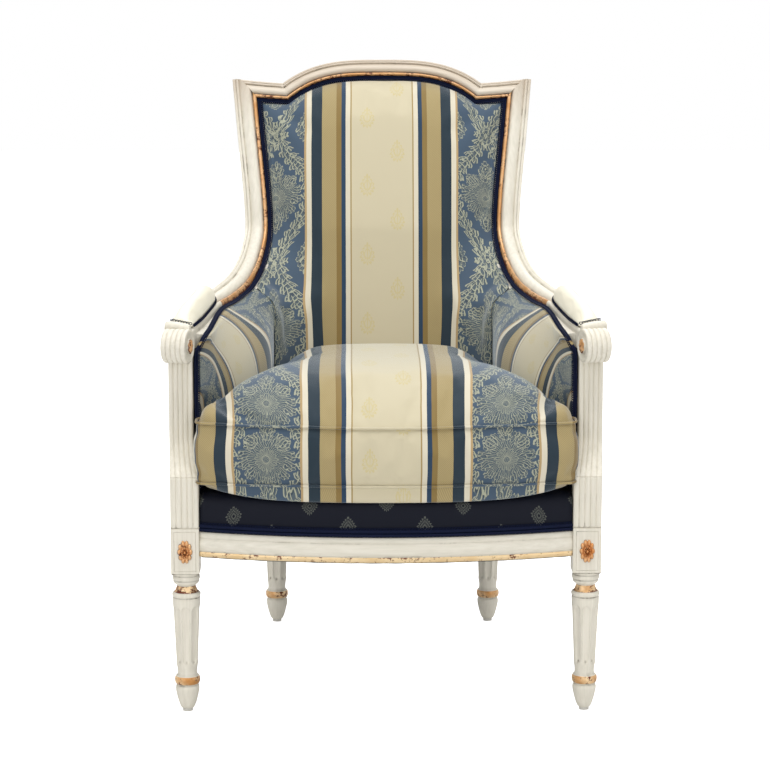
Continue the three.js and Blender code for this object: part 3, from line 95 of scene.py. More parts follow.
def tidyMesh(piece, sharpAngle=40):
    work = bmesh.new()
    work.from_mesh(piece.data)
    bmesh.ops.recalc_face_normals(work, faces=work.faces)
    for face in work.faces:
        face.smooth = True
    limit = math.radians(sharpAngle)
    for edge in work.edges:
        edge.smooth = len(edge.link_faces) == 2 and edge.calc_face_angle(0) < limit
    work.to_mesh(piece.data)
    work.free()


def gridFaces(rows, columns, wrapRows=False, wrapColumns=False):
    faces = []
    for r in range(rows if wrapRows else rows - 1):
        for c in range(columns if wrapColumns else columns - 1):
            r2 = (r + 1) % rows
            c2 = (c + 1) % columns
            faces.append((r * columns + c, r * columns + c2, r2 * columns + c2, r2 * columns + c))
    return faces


# The two end faces of a stack of rings
def endFaces(count, size):
    return [tuple(range(size))[::-1], tuple(range((count - 1) * size, count * size))]


def mirrorPoints(points):
    return np.asarray(points, float) * [-1, 1, 1]


def bothSides(points):
    return ("Right", points), ("Left", mirrorPoints(points))


def triple(x, y, z):
    return np.stack([x, y, z], axis=-1)


# Distance run along the rows (0) or the columns (1) of a grid of points
def runAlong(grid, axis=0):
    run = np.zeros(grid.shape[:2])
    steps = np.cumsum(np.linalg.norm(np.diff(grid, axis=axis), axis=2), axis=axis)
    run[(slice(1, None), slice(None))[::1 if axis == 0 else -1]] = steps
    return run


# A named curve of (place, value) rows, read between its rows
def readTable(place, rows):
    return np.interp(place, *zip(*rows))


def joinPieces(name, pieces):
    work = bmesh.new()
    for piece in pieces:
        work.from_mesh(piece.data)
    keep = pieces[0]
    work.to_mesh(keep.data)
    work.free()
    for piece in pieces[1:]:
        bpy.data.objects.remove(piece)
    keep.name = name
    return keep


def ease(value):
    value = np.clip(value, 0, 1)
    return value * value * (3 - 2 * value)


def mix(a, b, share):
    return a + (b - a) * share


# A smooth line through points, spaced as in the part's source
def guideCurve(points):
    table = [np.array(p, float) for p in points]
    last = len(table) - 1

    def at(t):
        place = last * min(max(t, 0.0), 1.0)
        i = min(int(place), last - 1)
        w = place - i
        p1, p2 = table[i], table[i + 1]
        p0 = table[i - 1] if i > 0 else 2 * table[0] - table[1]
        p3 = table[i + 2] if i + 2 <= last else 2 * table[last] - table[last - 1]
        pairs = ((p0, p1), (p1, p2), (p2, p3))
        d0, d1, d2 = (max(float(np.dot(b - a, b - a)) ** 0.25, 1e-4) for a, b in pairs)
        m1 = ((p1 - p0) / d0 - (p2 - p0) / (d0 + d1) + (p2 - p1) / d1) * d1
        m2 = ((p2 - p1) / d1 - (p3 - p1) / (d1 + d2) + (p3 - p2) / d2) * d1
        return p1 + w * (m1 + w * (-3 * p1 + 3 * p2 - 2 * m1 - m2 + w * (2 * p1 - 2 * p2 + m1 + m2)))

    return at


armFrontX, armFrontY = chair["frontLegX"] + 8.5, chair["frontLegY"] + 10
waistX, waistY = chair["rearLegX"] + 31, chair["rearLegY"] - 27.5
cornerX = waistX + 20.2
lean = math.radians(chair["leanDegrees"])
cornerY = waistY + (chair["corner"] - chair["waist"]) * math.tan(lean)
sweepShares = [(1, 0, 0), (0.85, 0.174, 0.057), (0.662, 0.406, 0.18), (0.454, 0.599, 0.218),
               (0.242, 0.763, 0.336), (0.111, 0.87, 0.531), (0.034, 0.95, 0.773), (0, 1, 1)]
stileShares = [(0.12, 0.215, 0.227), (0.39, 0.47, 0.47), (0.686, 0.715, 0.715), (1, 1, 1)]
faceAngles = [(14, 8), (12, 15), (12, 18), (13, 24), (12, 26), (6, 20), (2, 12), (0, 5), (0, 0), (0, 0),
              (0, 0), (0, 0)]
guidePoints = [(mix(waistX, armFrontX, x), mix(armFrontY, waistY, y),
                mix(chair["armFront"], chair["waist"], z)) for x, y, z in sweepShares]
guidePoints += [(mix(waistX, cornerX, x), mix(waistY, cornerY, y), mix(chair["waist"], chair["corner"], z))
                for x, y, z in stileShares]
centreLine = guideCurve(guidePoints)
faceLine = guideCurve([(math.cos(math.radians(r)) * math.cos(math.radians(a)),
                        math.cos(math.radians(r)) * math.sin(math.radians(a)), math.sin(math.radians(r)))
                       for a, r in faceAngles])
spans = len(guidePoints) - 1
jointAt = 4 / spans
padEndAt = 2.2 / spans


def unit(v):
    return v / np.linalg.norm(v)


def sectionAt(t, shift=0.0):
    tangent = unit(centreLine(min(t + 1e-4, 1)) - centreLine(max(t - 1e-4, 0)))
    lateral = faceLine(t)
    out = unit(np.cross(lateral * [1, 1, 0], tangent))
    across = unit(lateral - tangent * np.dot(lateral, tangent))
    origin = centreLine(t) - across * chair["faceWidth"] / 2 + tangent * shift
    return origin, across, out, tangent


def placeOn(t, u, v):
    origin, across, out, _ = sectionAt(t)
    return origin + across * u + out * v


innerCorner = sectionAt(1)[0]
leanUp = np.array([0, math.sin(lean), math.cos(lean)])
leanFront = np.array([0, -math.cos(lean), math.sin(lean)])
right = np.array([1.0, 0, 0])
up = np.array([0, 0, 1.0])
mitreRise = 32.4
earX = innerCorner[0] - 55.6
earDrop, archRise, archPower = 4.2, 39.7, 3.3


def onBack(x, height, front=0.0):
    return np.array([x, innerCorner[1], innerCorner[2]]) + leanUp * height + leanFront * front


def archHeight(x):
    x = abs(x)
    reach = min(x / earX, 1)
    arch = archRise - (archRise + earDrop) * reach ** archPower
    return arch + earDrop * max(0, (x - earX) / (innerCorner[0] - earX))


# Materials
def linear(code):
    values = [int(code[i:i + 2], 16) / 255 for i in (1, 3, 5)]
    return tuple(c / 12.92 if c <= 0.04045 else ((c + 0.055) / 1.055) ** 2.4 for c in values) + (1.0,)


def addNode(tree, kind, settings=None, links=None):
    node = tree.nodes.new(kind)
    for key, value in (settings or {}).items():
        setattr(node, key, value)
    for socket, value in (links or {}).items():
        target = node.inputs[socket]
        if isinstance(value, bpy.types.NodeSocket):
            tree.links.new(value, target)
        else:
            target.default_value = value
    return node


def startMaterial(name, settings):
    material = bpy.data.materials.new(name)
    material.use_nodes = True
    tree = material.node_tree
    tree.nodes.clear()
    shader = addNode(tree, "ShaderNodeBsdfPrincipled", None, settings)
    output = addNode(tree, "ShaderNodeOutputMaterial")
    tree.links.new(shader.outputs[0], output.inputs[0])
    return material, tree, shader


# A row is (result, operation, first, second, third): numbers, or names of earlier results
def workOut(tree, known, rows):
    for result, operation, *terms in rows:
        inputs = {i: known[term] if isinstance(term, str) else term for i, term in enumerate(terms)}
        known[result] = addNode(tree, "ShaderNodeMath", {"operation": operation}, inputs).outputs[0]
    return known


def setRamp(ramp, stops, interpolation="LINEAR"):
    ramp.interpolation = interpolation
    while len(ramp.elements) > 1:
        ramp.elements.remove(ramp.elements[-1])
    for i, (place, code) in enumerate(stops):
        element = ramp.elements[0] if i == 0 else ramp.elements.new(place)
        element.position = place
        element.color = linear(code)


# The colour, and a bump in millimetres from a height, are what a finished material shows
def finishMaterial(material, shader, colour, height, strength, depthMm):
    tree = material.node_tree
    inputs = {"Strength": strength, "Distance": depthMm * mm, "Height": height}
    bump = addNode(tree, "ShaderNodeBump", None, inputs)
    tree.links.new(colour, shader.inputs["Base Color"])
    tree.links.new(bump.outputs[0], shader.inputs["Normal"])
    return material


# Painted beech: casein paint over gesso, rubbed back, with brown wax left in the hollows, and painted shade
# browning it towards the crest
# The brown top tone and the height where it starts are painted shade
paint = {
    "cream": "#e3ddce", "light": "#e9e4d6", "grey": "#dbd6c6", "wax": "#6a604e", "patina": "#8f5f26",
    "roughness": 0.45, "streakMm": 5, "streakLength": 18, "patchMm": 30, "speckMm": 5, "agedFrom": 0.9,
}


def makePaint(name, direction):
    material, tree, shader = startMaterial(name, {"Roughness": paint["roughness"], "Specular IOR Level": 0.4})
    place = addNode(tree, "ShaderNodeTexCoord").outputs["Object"]
    hollow = addNode(tree, "ShaderNodeAttribute", {"attribute_name": "hollow"}).outputs["Fac"]
    scale = [1000 / paint["streakMm"]] * 3
    scale[direction] /= paint["streakLength"]
    stretched = addNode(tree, "ShaderNodeMapping", None, {"Vector": place, "Scale": scale}).outputs[0]
    known = {"hollow": hollow, "z": addNode(tree, "ShaderNodeSeparateXYZ", None, {0: place}).outputs[2]}
    for what, vector, size, detail, rough in (("streak", stretched, 1.0, 4.0, 0.6),
                                              ("cloud", place, 1000 / paint["patchMm"], 4.0, 0.65),
                                              ("speck", place, 1000 / paint["speckMm"], 5.0, 0.7)):
        inputs = {"Vector": vector, "Scale": size, "Detail": detail, "Roughness": rough}
        known[what] = addNode(tree, "ShaderNodeTexNoise", None, inputs).outputs[0]
    tone = addNode(tree, "ShaderNodeValToRGB", None, {"Fac": known["streak"]})
    setRamp(tone.color_ramp, [(0.3, paint["grey"]), (0.5, paint["cream"]), (0.72, paint["light"])])
    # Above 0.9 m the colour is drawn towards a brown: painted shade on the crest and the stile tops
    workOut(tree, known, [
        ("above", "SUBTRACT", "z", paint["agedFrom"]), ("grown", "DIVIDE", "above", 0.08),
        ("started", "MAXIMUM", "grown", 0.0), ("full", "MINIMUM", "started", 1.0),
        ("aged", "MULTIPLY", "full", 0.34),
        ("patch", "MULTIPLY_ADD", "cloud", 5.0, -2.3), ("patchy", "MAXIMUM", "patch", 0.3),
        ("held", "MULTIPLY", "hollow", "patchy"), ("waxed", "MULTIPLY", "held", 0.66),
        ("dot", "GREATER_THAN", "speck", 0.745), ("dots", "MULTIPLY", "dot", 0.2),
        ("all", "MAXIMUM", "waxed", "dots"),
        ("wax", "MINIMUM", "all", 0.9), ("height", "MULTIPLY_ADD", "wax", -0.5, "streak")])
    colour = tone.outputs[0]
    # The first mix is the painted shade towards the top; the second is the wax in the hollows
    for share, tint in (("aged", "patina"), ("wax", "wax")):
        inputs = {0: known[share], 6: colour, 7: linear(paint[tint])}
        colour = addNode(tree, "ShaderNodeMix", {"data_type": "RGBA"}, inputs).outputs[2]
    return finishMaterial(material, shader, colour, known["height"], 0.25, 0.4)


# Bole-ground gold leaf: warm, rubbed through to the red-brown clay in broken patches
gilding = {"leaf": "#c9925a", "pale": "#e3b685", "bole": "#672f18", "roughness": 0.38, "wearMm": 7,
           "toneMm": 30}


def makeGilding(name, wear, leaf=gilding["leaf"], pale=gilding["pale"]):
    material, tree, shader = startMaterial(name, {"Roughness": gilding["roughness"], "Metallic": 0.35})
    place = addNode(tree, "ShaderNodeTexCoord").outputs["Object"]
    inputs = {"Vector": place, "Scale": 1000 / gilding["wearMm"], "Detail": 6.0, "Roughness": 0.72}
    broad = addNode(tree, "ShaderNodeTexNoise", None, inputs).outputs[0]
    inputs = {"Vector": place, "Scale": 1000 / gilding["toneMm"], "Detail": 3.0}
    fine = addNode(tree, "ShaderNodeTexNoise", None, inputs).outputs[0]
    tone = addNode(tree, "ShaderNodeValToRGB", None, {"Fac": fine})
    setRamp(tone.color_ramp, [(0.35, leaf), (0.62, pale)])
    hollow = addNode(tree, "ShaderNodeAttribute", {"attribute_name": "hollow"}).outputs["Fac"]
    known = workOut(tree, {"broad": broad, "fine": fine, "hollow": hollow}, [
        ("both", "MULTIPLY_ADD", "fine", 0.35, "broad"), ("all", "MULTIPLY_ADD", "hollow", 0.16, "both"),
        ("edge", "SUBTRACT", "all", 0.92 - 0.3 * wear), ("steep", "MULTIPLY", "edge", 14.0),
        ("worn", "MINIMUM", "steep", 1.0), ("wear", "MAXIMUM", "worn", 0.0),
        ("kept", "SUBTRACT", 1.0, "wear")])
    inputs = {0: known["wear"], 6: tone.outputs[0], 7: linear(gilding["bole"])}
    colour = addNode(tree, "ShaderNodeMix", {"data_type": "RGBA"}, inputs).outputs[2]
    return finishMaterial(material, shader, colour, known["kept"], 0.4, 0.5)


paintUpright = makePaint("paintedBeechUpright", 2)
paintLying = makePaint("paintedBeechLying", 0)
paintDeep = makePaint("paintedBeechDeep", 1)
giltBead = makeGilding("rubbedGilding", 0.62)
giltRail = makeGilding("rubbedGildingPale", 0.6, "#d9ba8a", "#e6cda2")
giltRing = makeGilding("rubbedGildingTurned", 0.72, "#c48a4c", "#efd0a2")
giltCarving = makeGilding("rubbedGildingCarved", 0.55, "#cf8c4e")
print("wood materials made")


# Section of the show-wood moulding, from the gilt inner bead out to the fillet: (across, depth, hollow)
moulding = {
    "gilt": [(-0.4, -12, 1), (0.1, -8.6, 1), (0.3, -6.2, 0.4), (1.2, -4.2, 0), (2.6, -3.0, 0), (4.0, -2.8, 0),
             (5.4, -3.3, 0), (6.5, -4.6, 0.3), (7.0, -6.8, 0.8)],
    "wood": [(7.6, -8.3, 1), (8.3, -6.2, 0.8), (9.0, -4.0, 0.3), (10.4, -1.9, 0), (12.6, -0.6, 0),
             (15.5, -0.25, 0), (18.5, -0.7, 0), (21.5, -1.7, 0), (24.2, -3.1, 0), (26.6, -4.7, 0.1),
             (28.2, -6.1, 0.6), (28.9, -6.7, 1), (29.5, -5.4, 0.6), (30.5, -4.0, 0), (31.9, -3.4, 0),
             (33.3, -3.8, 0.1), (34.3, -5.2, 0.7), (34.8, -6.9, 1), (35.5, -6.6, 0.5), (36.6, -6.3, 0),
             (38.6, -6.5, 0), (39.6, -7.0, 0), (40.0, -8.0, 0)],
}


def frameProfile(width):
    scale = width / chair["faceWidth"]
    ledge = -chair["ledgeWidth"]
    profile = [(ledge, -chair["thickness"], 0), (ledge, -chair["ledgeDepth"], 0.3)]
    gilt = len(profile)
    profile += [(u * scale, v, h) for u, v, h in moulding["gilt"]]
    wood = len(profile)
    profile += [(u * scale, v, h) for u, v, h in moulding["wood"]]
    deep = -chair["thickness"]
    profile += [(width, deep + 1.5, 0), (width - 1.5, deep, 0), (0.72 * width, deep, 0)]
    return np.array(profile), gilt, wood


# Carries a section through stations. A gilt test says where along the run the bead is leafed.
def sweepFrame(width, stations, giltFrom=0.0, lastRing=None, ledgeFrom=0):
    profile, gilt, wood = frameProfile(width)
    rings = []
    for i, (origin, across, out) in enumerate(stations):
        u = profile[:, :1] if i >= ledgeFrom else np.maximum(profile[:, :1], -0.6)
        rings.append(origin + across * u + out * profile[:, 1:2])
    if lastRing is not None:
        rings.append(lastRing(rings[-1]))
    count = len(profile)
    points, faces, kinds, depth = loft(rings, np.tile(profile[:, 2], len(rings)))
    for i in range(count * (len(rings) - 1)):
        leafed = i // count / (len(rings) - 1) >= giltFrom
        kinds[i] = 1 if leafed and gilt <= i % count < wood - 1 else 0
    return points, faces, kinds, depth


def placePiece(name, built, materials, nodes, slot="painted_wood", **settings):
    points, faces, kinds, hollow = built
    piece = addPiece(name, points, faces, materials, kinds, values={"hollow": hollow}, **settings)
    dress(piece, nodes)


def placePair(name, built, materials, node, **settings):
    for side, shape in bothSides(built[0]):
        placePiece(name + side, (shape, *built[1:]), materials, [f"{node}_{side.lower()}"], **settings)


def dress(piece, nodes, body="frame"):
    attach(piece, body)
    if nodes:
        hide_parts(*nodes)


def mergeBuilt(*parts):
    points, faces, kinds, hollow = [], [], [], []
    start = 0
    for p, f, k, h in parts:
        points.append(p)
        faces += [tuple(i + start for i in face) for face in f]
        kinds += list(k)
        hollow.append(np.broadcast_to(h, (len(p),)))
        start += len(p)
    return np.vstack(points), faces, kinds, np.concatenate(hollow)


# A pile of rings with closed ends
def loft(rings, hollow=None):
    count = len(rings[0])
    faces = gridFaces(len(rings), count, wrapColumns=True) + endFaces(len(rings), count)
    points = np.vstack(rings)
    depth = np.zeros(len(points)) if hollow is None else np.asarray(hollow, float).ravel()
    return points, faces, [0] * len(faces), depth


# A rectangle in plan with small round corners
def roundedRectangle(x, y, z, width, depth, radius=2.0, steps=3):
    ring = []
    for sx, sy, start in ((1, 1, 0), (-1, 1, 90), (-1, -1, 180), (1, -1, 270)):
        cornerX, cornerY = x + sx * (width / 2 - radius), y + sy * (depth / 2 - radius)
        for i in range(steps + 1):
            angle = math.radians(start + 90 * i / steps)
            ring.append((cornerX + radius * math.cos(angle), cornerY + radius * math.sin(angle), z))
    return np.array(ring)


# Back stiles: the face sweeps out of the arm, over the waist and up to the mitre
def makeStiles():
    stations = [sectionAt(mix(jointAt, 1, i / 72), 0 if i else 0.15)[:3] for i in range(73)]
    tangent = sectionAt(1)[3]

    def toMitre(ring):
        moved = ring.copy()
        for _ in range(4):
            dx = moved[:, 0] - innerCorner[0]
            height = (moved - onBack(innerCorner[0], 0)) @ leanUp
            target = np.minimum((dx + 0.2) * mitreRise / chair["crestWidth"], mitreRise)
            moved = moved + tangent * ((target - height) / (tangent @ leanUp))[:, None]
        return moved

    face = sweepFrame(chair["faceWidth"], stations, 0.0, toMitre)
    foot, top = chair["blockTop"] + 0.3, chair["waist"] - 11.5
    rings = []
    for share in np.linspace(0, 1, 13):
        x = mix(chair["rearLegX"], waistX + 0.3, share ** 1.4)
        y = mix(chair["rearLegY"], waistY + 19, share ** 0.8)
        rings.append(roundedRectangle(x, y, mix(foot, top, share), mix(45, 36, share), mix(45, 27, share)))
    placePair("backStile", mergeBuilt(face, loft(rings)), [paintUpright, giltBead], "back_stile")


# Crest rail: an arch between two ears, mitred to the stiles
def makeCrest():
    half = [(x, archHeight(x)) for x in (earX * (i / 36) ** 0.75 for i in range(36, 0, -1))]
    side = [(mix(innerCorner[0] - 0.3, earX, s), mix(0, -earDrop, s))
            for s in (0, 0.25, 0.5, 0.75, 0.93)] + half
    edge = np.array(side + [(0, archRise)] + [(-x, h) for x, h in side[::-1]])
    stations = []
    for i, (x, h) in enumerate(edge):
        if i in (0, len(edge) - 1):
            mitre = np.array([math.copysign(chair["crestWidth"], x), mitreRise]) / chair["crestWidth"]
        else:
            before = unit(edge[i] - edge[i - 1])
            after = unit(edge[i + 1] - edge[i])
            middle = unit(before + after)
            mitre = np.array([middle[1], -middle[0]]) / abs(before @ middle)
        stations.append((onBack(x, h), right * mitre[0] + leanUp * mitre[1], leanFront))
    placePiece("crestRail", sweepFrame(chair["crestWidth"], stations), [paintLying, giltBead], ["crest_rail"])


# Arms: the moulded rail, the cap in front of the pad and the reeded roll
roll = {
    "radius": 27, "width": 40, "turnDegrees": 14, "reeds": 5, "reedDepth": 2.0,
    "centre": (armFrontX - 0.3, armFrontY - 19, chair["armFront"] - 26),
    # each end's carving, from its eye out: (bulge, radius, hollow, gilt)
    "end": [(2.6, 0, 0, 1), (2.9, 3.4, 0, 1), (2.3, 6.6, 0.3, 1), (2.6, 9, 0, 1), (1.2, 11.5, 0.9, 1),
            (-1.6, 12.6, 0.8, 0), (-1.9, 15, 0.2, 0), (-1.2, 19, 0.1, 0), (0, 22.5, 0, 0)],
}


def rollPoints():
    turn = math.radians(roll["turnDegrees"])
    axis = np.array([math.cos(turn), math.sin(turn), 0])
    forward = np.array([math.sin(turn), -math.cos(turn), 0])
    half = roll["width"] / 2
    around = np.linspace(0, 2 * math.pi, 72, endpoint=False)
    stations = [(-half - bulge, *rest) for bulge, *rest in roll["end"]]
    for r in range(roll["reeds"]):
        for s in np.linspace(0, 1, 9)[: 8 if r < roll["reeds"] - 1 else 9]:
            out = math.sqrt(max(0, 1 - (2 * s - 1) ** 2))
            place = mix(-half, half, (r + s) / roll["reeds"])
            radius = roll["radius"] - roll["reedDepth"] * (1 - out)
            stations.append((place, radius, 0.6 * (1 - ease(out * 1.9)), 0))
    stations += [(half + bulge, *rest) for bulge, *rest in roll["end"][::-1]]
    rings, depths = [], []
    for place, radius, hollow, gilt in stations:
        petals = np.cos(8 * around) * (1 if gilt and 3 < radius < 12 else 0)
        middle = np.array(roll["centre"]) + axis * (place + np.sign(place) * petals * 0.5)[:, None]
        rings.append(middle + (radius * np.cos(around))[:, None] * forward
                     + (radius * np.sin(around))[:, None] * up)
        depths.append(np.full(len(around), hollow))
    count = len(around)
    faces = gridFaces(len(rings), count, wrapColumns=True)
    kinds = [1 if stations[i // count][3] and stations[i // count + 1][3] else 0
             for i in range((len(rings) - 1) * count)]
    return np.vstack(rings), faces, kinds, np.concatenate(depths)


armCap = {
    "half": 8.5,
    "outline": [(0, -17), (0, 5.0), (0.4, 6.6), (1.8, 7.8), (6, 8.6), (20, 9.2), (34, 8.6), (38.2, 7.8),
                (39.6, 6.6), (40, 5.0), (40, -17)],
}


def makeArms():
    stations = [sectionAt(jointAt * i / 60, -0.15 if i == 60 else 0)[:3] for i in range(61)]
    face = sweepFrame(chair["faceWidth"], stations, padEndAt / jointAt, None, 7)
    origin, across, out, tangent = sectionAt(0)
    rings, depths = [], []
    for s in np.linspace(-1, 1, 13):
        swell = math.sqrt(max(0.02, 1 - abs(s) ** 3))
        ring = []
        for u, v in armCap["outline"]:
            rise = v if v < 0 else v * swell - 1.5 * (1 - swell)
            ring.append(origin + tangent * s * armCap["half"] + across * u + out * rise)
        rings.append(np.array(ring))
        depths.append(np.full(len(ring), 0.9 if abs(s) > 0.95 else 0.0))
    built = mergeBuilt(face, loft(rings, depths), rollPoints())
    placePair("armRail", built, [paintDeep, giltBead, giltCarving], "arm_rail")


# Arm posts: a reeded support over the leg block, sweeping back above its crease
armPost = {"foot": 302.3, "crease": 384.5, "sweepTop": 445, "top": 601, "setback": 34, "depth": 38,
           "inner": 305, "outer": 343, "reeds": 5, "reedDepth": 1.9}


# How far the post has swept back at a height, from 0 at its crease to 1
def postSwing(z):
    share = np.clip((z - armPost["crease"]) / (armPost["sweepTop"] - armPost["crease"]), 0, 1)
    return math.sin(share * math.pi / 2)


def postBack(swing):
    swept = armPost["setback"] - chair["blockHalf"] + armPost["depth"]
    return chair["frontLegY"] + mix(chair["blockHalf"], swept, swing)


def makeArmPosts():
    foot, creaseAt, sweepTop = armPost["foot"], armPost["crease"], armPost["sweepTop"]
    runs = [(foot, foot + 9, 7), (foot + 14, creaseAt - 2.5, 6), (creaseAt - 0.8, creaseAt + 0.8, 3),
            (creaseAt + 4, sweepTop, 14), (sweepTop + 15, armPost["top"], 8)]
    rings, depths = [], []
    for z in np.concatenate([np.linspace(*run) for run in runs]):
        swing = postSwing(z)
        front = chair["frontLegY"] - chair["blockHalf"] + armPost["setback"] * swing
        back = postBack(swing)
        inner = mix(chair["frontLegX"] - chair["blockHalf"], armPost["inner"], swing)
        outer = mix(chair["frontLegX"] + chair["blockHalf"], armPost["outer"], swing)
        crease = max(0, 1 - abs(z - creaseAt) / 0.9)
        low = z - foot
        ring, depth = [], []
        pitch = (outer - inner) / armPost["reeds"]
        for r in range(armPost["reeds"]):
            for s in np.linspace(0, 1, 9)[:-1]:
                w = abs(2 * s - 1)
                out = math.sqrt(max(0, 1 - w * w))
                if low < 5:  # each reed ends in a round foot
                    reach = 5 - math.sqrt(max(0, 25 - (w * 5) ** 2)) * 0.9
                    out *= math.sqrt(max(0, min(1, (low - reach) / 3.0)))
                y = front + armPost["reedDepth"] * (1 - out) + crease * 1.6
                ring.append((inner + pitch * (r + s), y, z))
                atFoot = 0.9 * (1 - ease(out * 1.5)) if low < 8 else 0
                depth.append(max(0.5 * (1 - ease(out * 1.8)), 0.8 * crease, atFoot))
        for i in range(4):
            angle = math.radians(-90 + 30 * i)
            y = front + armPost["reedDepth"] + 1.5 + 1.5 * math.sin(angle) + crease
            ring.append((outer - 1.5 + 1.5 * math.cos(angle), y, z))
            depth.append(0.2 + 0.6 * crease)
        ring += [(outer, back - 1.5, z), (outer - 1.5, back, z), (inner + 1.5, back, z),
                 (inner, back - 1.5, z)]
        depth += [0, 0, 0, 0]
        rings.append(np.array(ring))
        depths.append(depth)
    placePair("armPost", loft(rings, depths), [paintUpright], "arm_post", sharpAngle=55)


# Legs: a square block with an incised panel, over a turned and fluted shaft
leg = {"radius": 22.8, "flutes": 8, "fluteDepth": 3.0, "fillet": 0.2, "fluteFrom": 0.345, "fluteTo": 0.765}
legShares = [(0.3, 0.0235, 0), (0.42, 0.0235, 0), (0.48, 0.03, 0), (0.55, 0.046, 0), (0.63, 0.069, 0),
             (0.705, 0.096, 0), (0.77, 0.124, 0), (0.82, 0.15, 0), (0.835, 0.168, 0), (0.81, 0.183, 0),
             (0.74, 0.1905, 1), (0.72, 0.194, 1), (0.75, 0.198, 1), (0.82, 0.202, 0), (0.875, 0.214, 0),
             (0.89, 0.229, 0), (0.875, 0.244, 0), (0.82, 0.256, 0), (0.76, 0.261, 1), (0.7, 0.268, 0.6),
             (0.685, 0.285, 0), (0.69, 0.3, 0), (0.71, 0.318, 0), (0.74, 0.333, 0), (0.765, 0.348, 0),
             (0.79, 0.4, 0), (0.835, 0.5, 0), (0.88, 0.6, 0), (0.925, 0.7, 0), (0.955, 0.77, 0),
             (0.965, 0.8, 0), (0.965, 0.818, 0.3), (0.93, 0.8255, 2.2), (0.96, 0.83, 0.3), (0.99, 0.837, 0),
             (1.0, 0.844, 0), (0.985, 0.852, 0), (0.94, 0.858, 0.2), (0.86, 0.862, 0.8), (0.8, 0.867, 0.4),
             (0.74, 0.881, 0), (0.68, 0.897, 0), (0.65, 0.907, 0.5), (0.67, 0.913, 0.9), (0.79, 0.919, 0.2),
             (0.88, 0.928, 0), (0.915, 0.938, 0), (0.91, 0.946, 2.0), (0.925, 0.949, 1.2),
             (0.955, 0.955, 0.1), (0.968, 0.965, 0), (0.955, 0.975, 0.1), (0.92, 0.98, 2.0),
             (0.925, 0.983, 1.2), (0.945, 0.99, 0), (0.945, 1.0, 0.5), (0.945, 1.01, 0.8)]
legGilt = [(0.2, 0.258), (0.863, 0.908)]


def makeLeg(x, y):
    rows = []
    for (r0, h0, d0), (r1, h1, d1) in zip(legShares, legShares[1:]):
        steps = 10 if 0.34 < h0 < 0.8 and h1 - h0 > 0.02 else 1
        for i in range(steps):
            s = i / steps
            rows.append((mix(r0, r1, s), mix(h0, h1, s), mix(d0, d1, s)))
    rows.append(legShares[-1])
    around = np.linspace(0, 2 * math.pi, 168, endpoint=False)
    rings, depths = [], []
    for share, height, hollow in rows:
        z = chair["blockBottom"] * height
        run = (height - leg["fluteFrom"]) / (leg["fluteTo"] - leg["fluteFrom"])
        # 0 in the middle of a flute, 1 on a fillet
        aside = np.abs((around * leg["flutes"] / (2 * math.pi) + 0.5) % 1 - 0.5) * 2
        near = min(run * 11, (1 - run) * 11, 1.0)
        ends = math.sqrt(max(0.0, 1 - (1 - near) ** 2)) if 0 < run < 1 else 0.0
        reach = (1 - leg["fillet"]) * max(ends, 1e-3)
        cut = np.sqrt(np.clip(1 - (aside / reach) ** 2, 0, 1)) * ends
        radius = leg["radius"] * share - leg["fluteDepth"] * cut
        rings.append(triple(x + radius * np.cos(around), y + radius * np.sin(around),
                            np.full_like(around, z)))
        tip = max(0.0, 1 - abs(run - 0.035) * 26) * np.clip(1 - aside * 2.2, 0, 1)
        edge = 0.5 * np.clip(1 - np.abs(aside - reach) * 8, 0, 1) * ends
        depths.append(np.maximum(hollow, edge + 2.4 * tip))
    points, faces, kinds, hollow = loft(rings, depths)
    count = len(around)
    for r in range(len(rows) - 1):
        middle = (rows[r][1] + rows[r + 1][1]) / 2
        if any(low < middle < high for low, high in legGilt):
            kinds[r * count:(r + 1) * count] = [1] * count
    return points, faces, kinds, hollow


def makeBlock(x, y, name, faces):
    half = chair["blockHalf"]
    mesh = bpy.data.meshes.new(name)
    work = bmesh.new()
    bmesh.ops.create_cube(work, size=1)
    for vert in work.verts:
        z = mix(chair["blockBottom"], chair["blockTop"], vert.co.z + 0.5)
        vert.co = Vector((x + vert.co.x * 2 * half, y + vert.co.y * 2 * half, z)) * mm
    hollow = work.verts.layers.float.new("hollow")
    for direction in faces:
        panel = max(work.faces, key=lambda f: f.normal.dot(Vector(direction)) * f.calc_area())
        for thickness, depth, mark in ((6.8, 0, 0.0), (0.5, -0.7, 0.9), (0.35, 0, 0.9), (0.5, 0.7, 0.05)):
            bmesh.ops.inset_region(work, faces=[panel], thickness=thickness * mm, depth=depth * mm)
            for vert in panel.verts:
                vert[hollow] = mark
    edges = [e for e in work.edges if e.calc_face_angle(0) > 1.2 and all(v[hollow] == 0 for v in e.verts)]
    bmesh.ops.bevel(work, geom=edges, offset=0.8 * mm, segments=3, affect="EDGES")
    # a line of wax along the foot of the block
    for rise in (1.3, 1.9):
        level = (0, 0, (chair["blockBottom"] + rise) * mm)
        whole = work.verts[:] + work.edges[:] + work.faces[:]
        bmesh.ops.bisect_plane(work, geom=whole, plane_co=level, plane_no=(0, 0, 1))
    for vert in work.verts:
        if vert.co.z < (chair["blockBottom"] + 1.5) * mm:
            vert[hollow] = 2.0
    work.to_mesh(mesh)
    work.free()
    mesh.materials.append(paintUpright)
    piece = bpy.data.objects.new(name, mesh)
    bpy.context.scene.collection.objects.link(piece)
    tidyMesh(piece, 35)
    return piece


